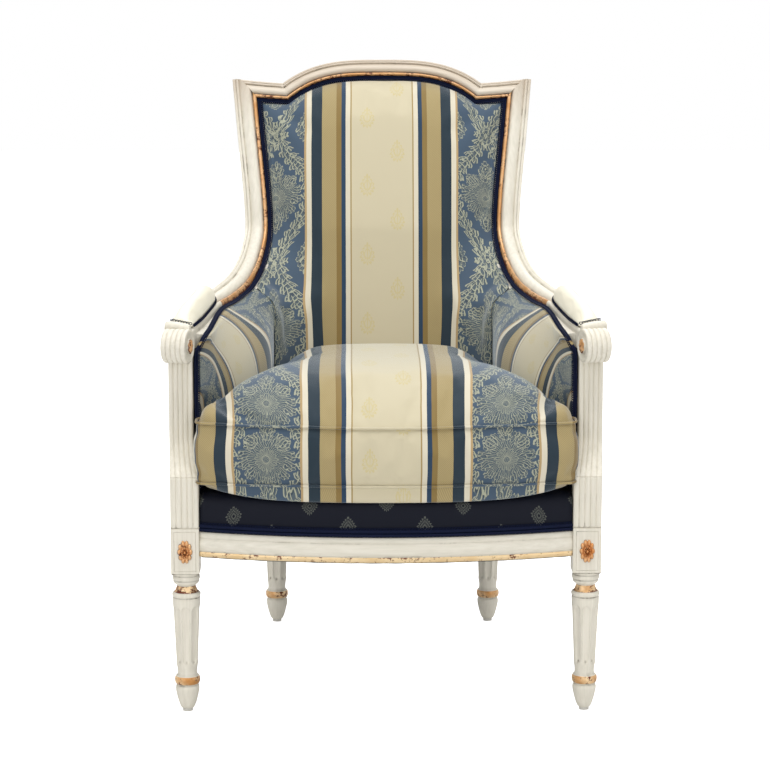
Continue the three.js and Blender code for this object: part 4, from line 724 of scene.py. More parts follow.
def makeLegs():
    for end in ("front", "rear"):
        x, y = chair[end + "LegX"], chair[end + "LegY"]
        points, faces, kinds, hollow = makeLeg(x, y)
        for side, shape in bothSides(points):
            sign = 1 if side == "Right" else -1
            name = f"{end}Leg{side}"
            materials, values = [paintUpright, giltRing], {"hollow": hollow}
            shaft = addPiece(name, shape, faces, materials, kinds, values=values, sharpAngle=50)
            panels = [(0, -1, 0), (sign, 0, 0)] if end == "front" else [(0, 1, 0), (sign, 0, 0)]
            block = makeBlock(sign * x, y, f"{end}Block{side}", panels)
            dress(joinPieces(name, [shaft, block]), [f"{end}_leg_{side.lower()}"])


# Carved rosettes on the front blocks: two rows of petals around a boss
rosette = {"width": 24, "height": 38, "petals": 10, "depth": 7}


def makeRosettes():
    around = np.linspace(0, 2 * math.pi, 120, endpoint=False)
    rings, depths = [], []
    face = chair["frontLegY"] - chair["blockHalf"] - 0.3
    z = (chair["blockBottom"] + chair["blockTop"]) / 2
    for s in np.linspace(1, 0.02, 30):
        petal = np.abs(np.cos(around * rosette["petals"] / 2))
        inner = np.abs(np.sin(around * rosette["petals"] / 2))
        edge = 0.8 + 0.2 * petal ** 0.7
        reach = np.minimum(s * edge / 0.99, 1)
        outerRow = np.sin(np.clip((1 - s) / 0.5, 0, 1) * math.pi) ** 0.7 * (0.35 + 0.65 * petal)
        innerRow = np.sin(np.clip((0.56 - s) / 0.36, 0, 1) * math.pi) ** 0.8 * (0.3 + 0.7 * inner) * 1.25
        boss = np.clip(1 - (s / 0.2) ** 2, 0, 1) ** 0.5 * 1.3
        rise = np.maximum(np.maximum(outerRow * 0.55, innerRow * 0.8), boss * 0.78) * rosette["depth"] * 0.95
        dip = np.clip(1.1 - 2.2 * np.maximum(outerRow, innerRow), 0, 1) * (s > 0.2)
        x = chair["frontLegX"] + rosette["width"] / 2 * reach * np.cos(around)
        rings.append(triple(x, face - rise, z + rosette["height"] / 2 * reach * np.sin(around)))
        depths.append(dip)
    placePair("rosette", loft(rings, depths), [giltCarving], "rosette", slot="gilt_carving", sharpAngle=70)


# Seat rails: moulded below, rebated above for the cover
railSection = [(0, 256, 0, 0), (26, 256, 0, 0), (27.4, 256.5, 0, 1), (28.3, 258, 0, 1), (28.5, 260.5, 0, 1),
               (28.3, 263, 0, 1), (27.4, 264.6, 0.4, 1), (26.6, 265.4, 0.9, 0), (27.1, 266.6, 0.3, 0),
               (28.4, 268.6, 0, 0), (29.5, 271.4, 0, 0), (30.0, 274.6, 0, 0), (29.9, 277.6, 0, 0),
               (29.1, 280.6, 0, 0), (27.8, 283.2, 0, 0), (26.5, 285.2, 0.2, 0), (25.9, 286.4, 0.7, 0),
               (26.4, 287.4, 0.2, 0), (27.0, 289.2, 0, 0), (27.1, 291.6, 0, 0), (26.6, 294, 0, 0),
               (25.2, 295.8, 0, 0), (21, 296, 0.5, 0), (21, 330, 0, 0), (0, 330, 0, 0)]
blockReach = chair["blockHalf"] + 0.3
frontRailEnd = chair["frontLegX"] - blockReach
railFrom, railTo = chair["frontLegY"] + blockReach, chair["rearLegY"] - blockReach
sideSlope = (chair["rearLegX"] - chair["frontLegX"]) / (railTo - railFrom)
sideStretch = math.hypot(1, sideSlope)
sideOffset = chair["blockHalf"] - chair["railInset"] - chair["railThickness"] / 2 * sideStretch


# Middle of the side rail, which runs aslant from leg to leg
def sideRailX(y):
    return chair["frontLegX"] + sideOffset + (y - railFrom) * sideSlope


def frontRailY(x):
    flat = chair["frontLegY"] - chair["blockHalf"] + chair["railInset"]
    return flat - chair["frontBow"] * (1 - (x / frontRailEnd) ** 2)


def sweepRail(stations):
    count = len(railSection)
    rings = [[origin + across * u + up * z for u, z, _, _ in railSection] for origin, across in stations]
    points, faces, kinds, depth = loft(rings, [[h for _, _, h, _ in railSection]] * len(rings))
    for i in range(count * (len(rings) - 1)):
        kinds[i] = railSection[i % count][3] and railSection[(i + 1) % count][3]
    return points, faces, kinds, depth


def makeRails():
    stations = []
    for i in range(61):
        x = mix(-frontRailEnd, frontRailEnd, i / 60)
        slope = 2 * chair["frontBow"] * x / frontRailEnd ** 2
        stretch = math.hypot(1, slope)
        across = np.array([0, -stretch, 0]) if i in (0, 60) else np.array([slope, -1, 0]) / stretch
        stations.append((np.array([x, frontRailY(x), 0]) - across * chair["railThickness"], across))
    placePiece("frontSeatRail", sweepRail(stations), [paintLying, giltRail], ["front_seat_rail"])
    half = chair["railThickness"] / 2 * sideStretch
    stations = [(np.array([sideRailX(y) - half, y, 0]), right * sideStretch)
                for y in np.linspace(railFrom, railTo, 9)]
    placePair("sideSeatRail", sweepRail(stations), [paintDeep, giltRail], "side_seat_rail")
    end = chair["rearLegX"] - blockReach
    y = chair["rearLegY"] + chair["blockHalf"] - chair["railInset"] - chair["railThickness"]
    stations = [(np.array([x, y, 0]), np.array([0, 1.0, 0])) for x in np.linspace(-end, end, 9)]
    placePiece("rearSeatRail", sweepRail(stations), [paintLying, giltRail], ["rear_seat_rail"])


makeStiles()
makeCrest()
makeArms()
makeArmPosts()
makeLegs()
makeRosettes()
makeRails()
print("show-wood made")


# Woven stuffs. Sizes in millimetres of cloth, read from the pieces' own cloth map.
weave = {"ribMm": 0.9, "twillMm": 3.2, "wanderMm": 15}
stripes = {
    "repeat": 369,
    "bands": [(0, "#cfc5a8"), (51.9, "#a48c58"), (54.4, "#dbd3bd"), (62.5, "#2a4058"), (69.9, "#8a7343"),
              (78, "#a8966a"), (102.6, "#26343e"), (121, "#dbd3bd"), (129.5, "#b79c70"), (133.2, "#465769")],
    "leaf": "#5c6668", "line": "#c3c3a6", "shade": "#2c3a4a", "sprig": "#cdbf8e",
    "drop": 244, "sprigDrop": 122, "sprigAside": 26, "veinMm": 11,
}
navyCloth = {"ground": "#0e111d", "sprig": "#6d7068", "across": 120, "drop": 40}


# Rows for a lobed flower, whose ring values fall below 1 inside it. A low pinch gives a pointed outline.
def flowerRows(tag, x, y, width, height, lobes, pinch, rings):
    rows = [(tag + "X", "DIVIDE", x, width), (tag + "Y", "DIVIDE", y, height),
            (tag + "XA", "ABSOLUTE", tag + "X"), (tag + "YA", "ABSOLUTE", tag + "Y"),
            (tag + "XX", "POWER", tag + "XA", pinch), (tag + "YY", "POWER", tag + "YA", pinch),
            (tag + "RR", "ADD", tag + "XX", tag + "YY"), (tag + "R", "POWER", tag + "RR", 1 / pinch),
            (tag + "T", "ARCTAN2", tag + "Y", tag + "X")]
    for i, (share, phase, deep) in enumerate(rings):
        n = f"{tag}{i}"
        rows += [(n + "A", "MULTIPLY_ADD", tag + "T", lobes / 2, phase), (n + "B", "SINE", n + "A"),
                 (n + "C", "ABSOLUTE", n + "B"), (n + "D", "SQRT", n + "C"),
                 (n + "a", "MULTIPLY_ADD", tag + "T", lobes * 1.5, phase * 3 + 0.6),
                 (n + "b", "SINE", n + "a"), (n + "c", "ABSOLUTE", n + "b"),
                 (n + "d", "MULTIPLY_ADD", n + "c", share * 0.07, share * (0.93 - deep)),
                 (n + "E", "MULTIPLY_ADD", n + "D", share * deep, n + "d"),
                 (n + "F", "DIVIDE", tag + "R", n + "E")]
    return rows


def lineRows(tag, value, at, width):
    return [(tag + "G", "SUBTRACT", value, at), (tag + "H", "ABSOLUTE", tag + "G"),
            (tag, "LESS_THAN", tag + "H", width)]


# Rows for the largest or the smallest of many values
def extreme(name, operation, items):
    steps = [items[0]] + [f"{name}{i}" for i in range(len(items) - 2)] + [name]
    return [(after, operation, before, item) for before, after, item in zip(steps, steps[1:], items[1:])]


# Cloth coordinates in millimetres, with a little of the weave's unevenness
def clothPlace(tree, wander):
    place = addNode(tree, "ShaderNodeUVMap", {"uv_map": "cloth"}).outputs[0]
    split = addNode(tree, "ShaderNodeSeparateXYZ", None, {0: place})
    curl = addNode(tree, "ShaderNodeTexNoise", None,
                   {"Vector": place, "Scale": 1000 / weave["wanderMm"], "Detail": 2.0})
    shift = addNode(tree, "ShaderNodeSeparateColor", None, {0: curl.outputs["Color"]})
    known = {"rawU": split.outputs[0], "rawV": split.outputs[1], "noiseA": shift.outputs[0],
             "noiseB": shift.outputs[1]}
    workOut(tree, known, [
        ("u", "MULTIPLY", "rawU", 1000.0), ("v", "MULTIPLY", "rawV", 1000.0),
        ("driftA", "MULTIPLY_ADD", "noiseA", wander, -wander / 2),
        ("driftB", "MULTIPLY_ADD", "noiseB", wander, -wander / 2),
        ("ribA", "MULTIPLY", "v", 2 * math.pi / weave["ribMm"]), ("rib", "SINE", "ribA")])
    return place, known


# Striped damask: satin ground, twill gold stripes, and brocaded flowers on the blue
def makeDamask():
    material, tree, shader = startMaterial("stripedSilkDamask", {
        "Roughness": 0.5, "Specular IOR Level": 0.12,
        "Sheen Weight": 0.55, "Sheen Roughness": 0.45, "Sheen Tint": (0.84, 0.92, 1.0, 1.0)})
    place, known = clothPlace(tree, 7.0)
    half = stripes["repeat"] / 2
    workOut(tree, known, [
        ("shifted", "ADD", "u", half), ("turned", "FLOORED_MODULO", "shifted", stripes["repeat"]),
        ("centred", "SUBTRACT", "turned", half),
        ("fold", "ABSOLUTE", "centred"), ("share", "DIVIDE", "fold", half),
        ("p0", "SUBTRACT", half, "fold"), ("p1", "ADD", "p0", "driftA"), ("p", "ABSOLUTE", "p1"),
        ("q0", "ADD", "v", stripes["drop"] / 2), ("q1", "FLOORED_MODULO", "q0", stripes["drop"]),
        ("q2", "SUBTRACT", "q1", stripes["drop"] / 2),
        ("q", "ADD", "q2", "driftB"), ("qAbs", "ABSOLUTE", "q"),
        ("qPalm", "SUBTRACT", stripes["drop"] / 2 + 4, "qAbs"),
        ("pEdge", "SUBTRACT", 51.3, "p"), ("qCrown", "SUBTRACT", "q", 50), ("qTail", "ADD", "q", 47),
        ("pCurl", "SUBTRACT", "p", 25), ("qCurl", "SUBTRACT", "q", 27),
        ("turn", "MULTIPLY", "q", 2 * math.pi / stripes["drop"]), ("swing", "COSINE", "turn"),
        ("middle", "MULTIPLY_ADD", "swing", 27.0, 34.0),
        ("off", "SUBTRACT", "p", "middle"), ("off1", "ABSOLUTE", "off"),
        ("outside", "GREATER_THAN", "off", 0.0),
        ("beatA", "MULTIPLY_ADD", "outside", 0.5, 0.1), ("beatB", "MULTIPLY_ADD", "off1", -0.028, "beatA"),
        ("beatC", "MULTIPLY_ADD", "qAbs", 1 / 15, "beatB"), ("beatD", "FRACT", "beatC"),
        ("beatE", "SUBTRACT", 1.0, "beatD"), ("beatF", "POWER", "beatE", 0.55),
        ("wide", "MULTIPLY_ADD", "beatF", 11.0, 5.5), ("band", "DIVIDE", "off1", "wide")])
    # each flower: (tag, place across, place along, width, height, lobes, pinch, rings)
    petals = [
        ("fl", "p", "q", 50, 53, 14, 1.5,
         [(1.0, 0.35, 0.27), (0.86, 0.35, 0.27), (0.66, 1.1, 0.34), (0.4, 0.9, 0.36), (0.13, 0.9, 0.2)]),
        ("cu", "pCurl", "qCurl", 13, 12, 8, 2.0, [(1.0, 0.5, 0.16), (0.62, 0.9, 0.2)]),
        ("cr", "p", "qCrown", 15, 24, 14, 1.3, [(1.0, 0.8, 0.34), (0.62, 0.2, 0.3)]),
        ("ta", "p", "qTail", 12, 20, 12, 1.3, [(1.0, 0.5, 0.3), (0.5, 0.2, 0.3)]),
        ("pe", "pEdge", "qPalm", 17, 34, 14, 1.5, [(1.0, 0.4, 0.34), (0.66, 1.0, 0.3), (0.3, 0.4, 0.2)]),
        ("pa", "p", "qPalm", 20, 27, 14, 1.5, [(1.0, 0.4, 0.3), (0.66, 1.0, 0.3), (0.3, 0.4, 0.2)])]
    inside, lines = ["band"], []
    for petal in petals:
        workOut(tree, known, flowerRows(*petal))
        tag, rings = petal[0], petal[-1]
        inside.append(tag + "0F")
        for i, ring in enumerate(rings):
            reach = ring[0] * petal[3]
            workOut(tree, known, lineRows(f"{tag}Line{i}", f"{tag}{i}F", 1.0 - 0.9 / reach, 0.46 / reach))
            lines.append(f"{tag}Line{i}")
    workOut(tree, known, lineRows("bandLine", "band", 0.93, 0.06) + lineRows("bandSecond", "band", 0.66, 0.05)
            + lineRows("bandVein", "band", 0.3, 0.06) + [
        ("rayA", "MULTIPLY", "flT", 14.0), ("rayB", "SINE", "rayA"), ("rayC", "ABSOLUTE", "rayB"),
        ("rayD", "MULTIPLY", "rayC", "flR"), ("rayE", "LESS_THAN", "rayD", 0.12),
        ("rayF", "LESS_THAN", "fl3F", 0.95), ("rayG", "GREATER_THAN", "fl4F", 1.0),
        ("rayH", "MULTIPLY", "rayE", "rayF"), ("rayI", "MULTIPLY", "rayH", "rayG"),
        ("ray", "MULTIPLY", "rayI", 0.55)])
    lines += ["bandLine", "bandSecond", "bandVein", "ray"]
    # curved veins within the leaves, spread from the flower's heart
    inputs = {"Vector": place, "Scale": 1000 / stripes["veinMm"], "Detail": 0.3, "Distortion": 0.9}
    known["swirl"] = addNode(tree, "ShaderNodeTexNoise", None, inputs).outputs[0]
    workOut(tree, known, extreme("lined", "MAXIMUM", lines) + extreme("nearest", "MINIMUM", inside) + [
        ("inLeaf", "LESS_THAN", "nearest", 1.0), ("curl0", "MULTIPLY", "swirl", 1.4),
        ("curl1", "MULTIPLY_ADD", "flR", 2.6, "curl0"), ("waves", "MULTIPLY_ADD", "flT", 8.0, "curl1"),
        ("wave", "FRACT", "waves"), ("waveLine", "LESS_THAN", "wave", 0.2),
        ("waveDark0", "GREATER_THAN", "wave", 0.72), ("waveDark", "MULTIPLY", "waveDark0", "inLeaf"),
        ("vein", "MULTIPLY", "waveLine", "inLeaf"), ("veined", "MAXIMUM", "lined", "vein"),
        ("onBlue", "GREATER_THAN", "fold", stripes["bands"][-1][0]),
        ("leafMask", "MULTIPLY", "inLeaf", "onBlue"), ("lineMask", "MULTIPLY", "veined", "onBlue"),
        ("leafMix", "MULTIPLY", "leafMask", 0.66), ("lineMix", "MULTIPLY", "lineMask", 0.68),
        ("shadeMask", "MULTIPLY", "waveDark", "onBlue"), ("shadeMix", "MULTIPLY", "shadeMask", 0.55)])
    # sprigs on the cream, staggered left and right
    workOut(tree, known, [
        ("side", "LESS_THAN", "centred", 0.0), ("sy0", "MULTIPLY_ADD", "side", stripes["sprigDrop"] / 2, "v"),
        ("sy1", "FLOORED_MODULO", "sy0", stripes["sprigDrop"]),
        ("sy", "SUBTRACT", "sy1", stripes["sprigDrop"] / 2),
        ("sx0", "SUBTRACT", "fold", stripes["sprigAside"]), ("sx", "ABSOLUTE", "sx0")])
    workOut(tree, known, [("taper", "MULTIPLY_ADD", "sy", 0.02, 1.0), ("px", "MULTIPLY", "sx", "taper"),
                          ("foot", "ADD", "sy", 15.0), ("fan", "ARCTAN2", "foot", "px")])
    workOut(tree, known, flowerRows("sp", "px", "sy", 13, 21, 14, 1.5, [(1.0, 0.6, 0.4), (0.55, 0.1, 0.4)]))
    workOut(tree, known, lineRows("spA", "sp0F", 0.9, 0.11) + lineRows("spB", "sp1F", 0.85, 0.16) + [
        ("spR", "MULTIPLY", "fan", 8.0), ("spS", "SINE", "spR"), ("spAbs", "ABSOLUTE", "spS"),
        ("spRay0", "LESS_THAN", "spAbs", 0.4), ("spIn", "LESS_THAN", "sp0F", 0.9),
        ("spRay", "MULTIPLY", "spRay0", "spIn"), ("spC0", "MAXIMUM", "spA", "spB"),
        ("spC", "MAXIMUM", "spC0", "spRay"), ("onCream", "LESS_THAN", "fold", 50.0),
        ("sprigMask", "MULTIPLY", "spC", "onCream"), ("sprigMix", "MULTIPLY", "sprigMask", 0.78)])
    ramp = addNode(tree, "ShaderNodeValToRGB", None, {"Fac": known["share"]})
    setRamp(ramp.color_ramp, [(at / half, code) for at, code in stripes["bands"]], "CONSTANT")
    # twill on the gold stripes and fine ribs elsewhere
    workOut(tree, known, [
        ("slant", "ADD", "u", "v"), ("twillA", "MULTIPLY", "slant", 2 * math.pi / weave["twillMm"]),
        ("twill", "SINE", "twillA"),
        ("goldA", "GREATER_THAN", "fold", 78.0), ("goldB", "LESS_THAN", "fold", 102.6),
        ("gold", "MULTIPLY", "goldA", "goldB"),
        ("twillMask", "MULTIPLY", "twill", "gold"), ("value", "MULTIPLY_ADD", "twillMask", 0.15, 1.0),
        ("raised0", "MULTIPLY_ADD", "twillMask", 0.5, "rib"),
        ("raised1", "MULTIPLY_ADD", "leafMask", 1.2, "raised0"),
        ("raised", "MULTIPLY_ADD", "lineMask", 1.5, "raised1")])
    colour = ramp.outputs[0]
    for thread in ("leaf", "shade", "line", "sprig"):
        inputs = {0: known[thread + "Mix"], 6: colour, 7: linear(stripes[thread])}
        colour = addNode(tree, "ShaderNodeMix", {"data_type": "RGBA"}, inputs).outputs[2]
    inputs = {"Value": known["value"], "Color": colour}
    colour = addNode(tree, "ShaderNodeHueSaturation", None, inputs).outputs[0]
    return finishMaterial(material, shader, colour, known["raised"], 0.3, 0.18)


# Navy satin with small woven sprigs
def makeNavy(name):
    material, tree, shader = startMaterial(name, {"Roughness": 0.55, "Specular IOR Level": 0.14})
    _, known = clothPlace(tree, 1.6)
    workOut(tree, known, [
        ("row", "DIVIDE", "v", navyCloth["drop"]), ("rowAt", "FLOOR", "row"),
        ("odd", "FLOORED_MODULO", "rowAt", 2.0),
        ("su0", "MULTIPLY_ADD", "odd", navyCloth["across"] / 2, "u"),
        ("su1", "ADD", "su0", navyCloth["across"] / 2), ("su2", "FLOORED_MODULO", "su1", navyCloth["across"]),
        ("su3", "SUBTRACT", "su2", navyCloth["across"] / 2), ("su4", "ADD", "su3", "driftA"),
        ("su", "ABSOLUTE", "su4"),
        ("sv0", "FLOORED_MODULO", "v", navyCloth["drop"]), ("sv1", "SUBTRACT", "sv0", navyCloth["drop"] / 2),
        ("sv", "ADD", "sv1", "driftB")])
    rings = [(1.0, 0.6, 0.5), (0.66, 0.1, 0.5), (0.36, 0.6, 0.4)]
    workOut(tree, known, flowerRows("sp", "su", "sv", 14, 18, 18, 1.2, rings))
    workOut(tree, known, lineRows("spA", "sp0F", 0.9, 0.1) + lineRows("spB", "sp1F", 0.88, 0.13)
            + lineRows("spC", "sp2F", 0.75, 0.24) + [
        ("spD", "MAXIMUM", "spA", "spB"), ("spE", "MAXIMUM", "spD", "spC"),
        ("sprig", "MULTIPLY", "spE", 0.55), ("raised", "ADD", "spE", "rib")])
    inputs = {0: known["sprig"], 6: linear(navyCloth["ground"]), 7: linear(navyCloth["sprig"])}
    colour = addNode(tree, "ShaderNodeMix", {"data_type": "RGBA"}, inputs).outputs[2]
    return finishMaterial(material, shader, colour, known["raised"], 0.25, 0.15)


# Plain stuffs: a base colour, a fine grain and a bump, sized in millimetres
def makePlain(name, low, high, grainMm, roughness, bumpMm, stretch=(1, 1, 1), **more):
    material, tree, shader = startMaterial(name, {"Roughness": roughness, **more})
    place = addNode(tree, "ShaderNodeTexCoord").outputs["Object"]
    scale = [1000 / grainMm * share for share in stretch]
    scaled = addNode(tree, "ShaderNodeMapping", None, {"Vector": place, "Scale": scale}).outputs[0]
    grain = addNode(tree, "ShaderNodeTexNoise", None,
                    {"Vector": scaled, "Scale": 1.0, "Detail": 4.0}).outputs[0]
    tone = addNode(tree, "ShaderNodeValToRGB", None, {"Fac": grain})
    setRamp(tone.color_ramp, [(0.32, low), (0.68, high)])
    return finishMaterial(material, shader, tone.outputs[0], grain, 0.3, bumpMm)


damask = makeDamask()
navySatin = makeNavy("navySatinSprigged")
creamSatin = makePlain("creamSatin", "#f3ecd2", "#faf5e3", 0.9, 0.45, 0.12, **{"Sheen Weight": 0.3})
navyCord = makePlain("navyWrappedCord", "#080d20", "#101a38", 1.1, 0.75, 0.25, **{"Specular IOR Level": 0.12})
bareBeech = makePlain("bareBeech", "#c9a074", "#ddbb90", 5.0, 0.6, 0.15, (1, 0.08, 1))
jute = makePlain("juteWebbing", "#8f7346", "#b39763", 2.2, 0.85, 0.5)
cambric = makePlain("blackCambric", "#141414", "#1f1f1f", 1.0, 0.9, 0.15)
zinc = makePlain("zincPlatedSteel", "#8f9295", "#b4b7ba", 3.0, 0.35, 0.05, Metallic=1.0)
glidePlastic = makePlain("paleGlidePlastic", "#d2cfc6", "#dcd9d0", 2.0, 0.5, 0.05)
print("cloth materials made")


# Closed shells, and cloth held at its seams
def shell(front, back):
    rows, columns = front.shape[:2]
    points = np.vstack([front.reshape(-1, 3), back.reshape(-1, 3)])
    faces = gridFaces(rows, columns)
    count = rows * columns
    faces += [tuple(i + count for i in face[::-1]) for face in gridFaces(rows, columns)]
    ring = borderOf(rows, columns)
    for i, a in enumerate(ring):
        b = ring[(i + 1) % len(ring)]
        faces.append((b, a, a + count, b + count))
    return points, faces, ring


def borderOf(rows, columns):
    ring = list(range(columns)) + [r * columns + columns - 1 for r in range(1, rows)]
    ring += [(rows - 1) * columns + c for c in range(columns - 2, -1, -1)]
    return ring + [r * columns for r in range(rows - 2, 0, -1)]


stuffing = {"frames": 20, "pressure": 4.0, "tension": 18, "bending": 1.2, "quality": 6}


def inflate(points, faces, held, cap, grow=0.0, pressure=None, bending=None):
    points = np.asarray(points, float)
    mesh = bpy.data.meshes.new("stuffing")
    mesh.from_pydata([tuple(p) for p in points * mm], [], [tuple(int(i) for i in f) for f in faces])
    body = bpy.data.objects.new("stuffing", mesh)
    bpy.context.scene.collection.objects.link(body)
    tidyMesh(body)
    group = body.vertex_groups.new(name="seams")
    group.add([int(i) for i in held], 1.0, "REPLACE")
    cloth = body.modifiers.new("cloth", "CLOTH")
    settings = cloth.settings
    settings.quality = stuffing["quality"]
    settings.tension_stiffness = settings.compression_stiffness = stuffing["tension"]
    settings.bending_stiffness = bending or stuffing["bending"]
    settings.use_pressure = True
    settings.uniform_pressure_force = pressure or stuffing["pressure"]
    settings.shrink_min = -grow
    settings.effector_weights.gravity = 0
    settings.vertex_group_mass = "seams"
    scene = bpy.context.scene
    for number in range(1, stuffing["frames"] + 1):
        scene.frame_set(number)
    shape = body.evaluated_get(bpy.context.evaluated_depsgraph_get()).to_mesh()
    moved = np.empty(len(points) * 3)
    shape.vertices.foreach_get("co", moved)
    moved = moved.reshape(-1, 3) / mm
    scene.frame_set(1)
    bpy.data.objects.remove(body)
    shift = moved - points
    size = np.linalg.norm(shift, axis=1, keepdims=True)
    return points + shift * np.minimum(1, cap / np.maximum(size, 1e-6))


def pad(name, points, faces, uv, node, material, slot, fill, body="frame"):
    piece = addPiece(name, points, faces, [material], uv=uv, sharpAngle=70)
    modifier = piece.modifiers.new("smooth", "SUBSURF")
    modifier.levels = modifier.render_levels = 1
    finer = bpy.data.meshes.new_from_object(piece.evaluated_get(bpy.context.evaluated_depsgraph_get()))
    piece.modifiers.remove(modifier)
    piece.data = finer
    dress(piece, [node], body)


def padPair(name, points, faces, uv, node, *finish):
    for side, shape in bothSides(points):
        pad(name + side, shape, faces, uv, f"{node}_{side.lower()}", *finish)


# Cloth coordinates of a shell, the same on both its grids
def shellUv(u, v):
    return np.tile(np.stack([u, v], axis=2).reshape(-1, 2), (2, 1))


def runLength(path):
    return np.concatenate([[0], np.cumsum(np.linalg.norm(np.diff(path, axis=0), axis=1))])


# A round cord along a path, wrapped so its covering shows faint turns
def cordAlong(path, radius, sides=12, closed=False, wrap=0.0, lay=6.0):
    path = np.asarray(path, float)
    count = len(path)
    before = np.roll(path, 1, 0)
    after = np.roll(path, -1, 0)
    if not closed:
        before[0], after[-1] = path[0], path[-1]
    tangent = after - before
    tangent /= np.linalg.norm(tangent, axis=1, keepdims=True)
    length = runLength(path)
    side = np.cross(tangent[0], [0.13, 0.21, 0.97])
    rings = []
    for i in range(count):
        side = unit(side - tangent[i] * np.dot(side, tangent[i]))
        other = np.cross(tangent[i], side)
        angle = np.linspace(0, 2 * math.pi, sides, endpoint=False)
        r = radius * (1 + wrap * np.cos(2 * angle + 2 * math.pi * length[i] / lay))
        rings.append(path[i] + (r * np.cos(angle))[:, None] * side + (r * np.sin(angle))[:, None] * other)
    points = np.vstack(rings)
    faces = gridFaces(count, sides, wrapRows=closed, wrapColumns=True)
    if not closed:
        faces += endFaces(count, sides)
    return points, faces


def resample(path, step):
    path = np.asarray(path, float)
    length = runLength(path)
    places = np.linspace(0, length[-1], max(2, int(round(length[-1] / step)) + 1))
    return np.stack([np.interp(places, length, path[:, k]) for k in range(3)], axis=1)


# Seat cushion: a loose boxed T cushion, self-piped, filled and held at its seams
cushion = {
    "earX": 300.5, "front": -324.65, "bow": 40, "seamLow": 380, "seamHigh": 476, "bottom": 360.4, "crown": 74,
    "start": 0.93, "inset": 4.5, "corner": 9, "columns": 84, "rows": 62, "boxRows": 14, "welt": 2.1,
    "cap": 12, "droop": 3, "dip": 5,
    "floor": [(0.5, 340), (2.5, 342), (4, 347.2), (7.5, 351.8), (12.5, 356), (19, 358.7), (27, 360.4)],
}
# Underside behind the front seam: distance along the cloth, fall, and how far it stays forward
cushionHang = ([0, 3.1, 6.4, 9.9, 13.6, 17.5, 22, 28], [0, 9, 19, 26.5, 29, 27, 22, 19.6],
               [0, 2.6, 5.2, 7.2, 7.6, 5.0, 1.5, 0])
innerAlong = [(0, 1.45), (0.05, 1.1), (0.12, 0.75), (0.24, 0.44), (0.39, 0.26), (0.58, 0.05), (0.8, 0),
              (1, 0.02)]
innerGuide = guideCurve([(mix(189, 262, w), mix(-235.65, 106.35, a), 0) for a, w in innerAlong])
innerTable = np.array([innerGuide(s) for s in np.linspace(0, 1, 240)])


def innerAt(y):
    return np.interp(y, innerTable[:, 1], innerTable[:, 0])


def cushionHalf(y):
    ears = [(-400, 300.5), (-294, 300.5), (-286, 292), (-262, 288), (-257, 280), (-250, 277)]
    waist = [(v, min(innerAt(v) - 3.5, 277)) for v in np.linspace(-235, 70, 24)]
    return readTable(y, ears + waist + [(84.4, 177)])


def cushionRear(x):
    return readTable(np.abs(x), [(0, 126.9), (60, 124.6), (120, 114.5), (160, 98), (178, 84.4)])


def cushionFront(x):
    return cushion["front"] - cushion["bow"] * (1 - np.minimum(np.abs(x) / cushion["earX"], 1) ** 2)


# Shares from -1 to 1 that crowd towards both ends
def crowded(count, share):
    return np.sin(np.linspace(-1, 1, count) * math.pi / 2 * share) / math.sin(math.pi / 2 * share)


def cushionPlan():
    a = crowded(cushion["columns"], 0.82)
    even = np.linspace(0, 1, cushion["rows"])
    b = (1 - np.cos(even * math.pi)) / 2 * 0.6 + even * 0.4
    across, along = np.meshgrid(a, b)
    half = cushionHalf(mix(cushion["front"], 84.4, along))
    x = across * half
    y = mix(cushionFront(x), cushionRear(x), along)
    # the two front corners are rounded
    r = cushion["corner"]
    cx, cy = cushion["earX"] - r, cushion["front"] + r
    dx, dy = np.abs(x) - cx, cy - y
    near = (dx > 0) & (dy > 0) & (np.abs(x) < cushion["earX"] + 1) & (along < 0.1)
    reach = np.hypot(dx, dy)
    pull = np.where(near & (reach > 0), np.maximum(dx, dy) / np.maximum(reach, 1e-6), 1)
    x = np.where(near, np.sign(x) * (cx + dx * pull), x)
    y = np.where(near, cy - dy * pull, y)
    return x, y, across, along


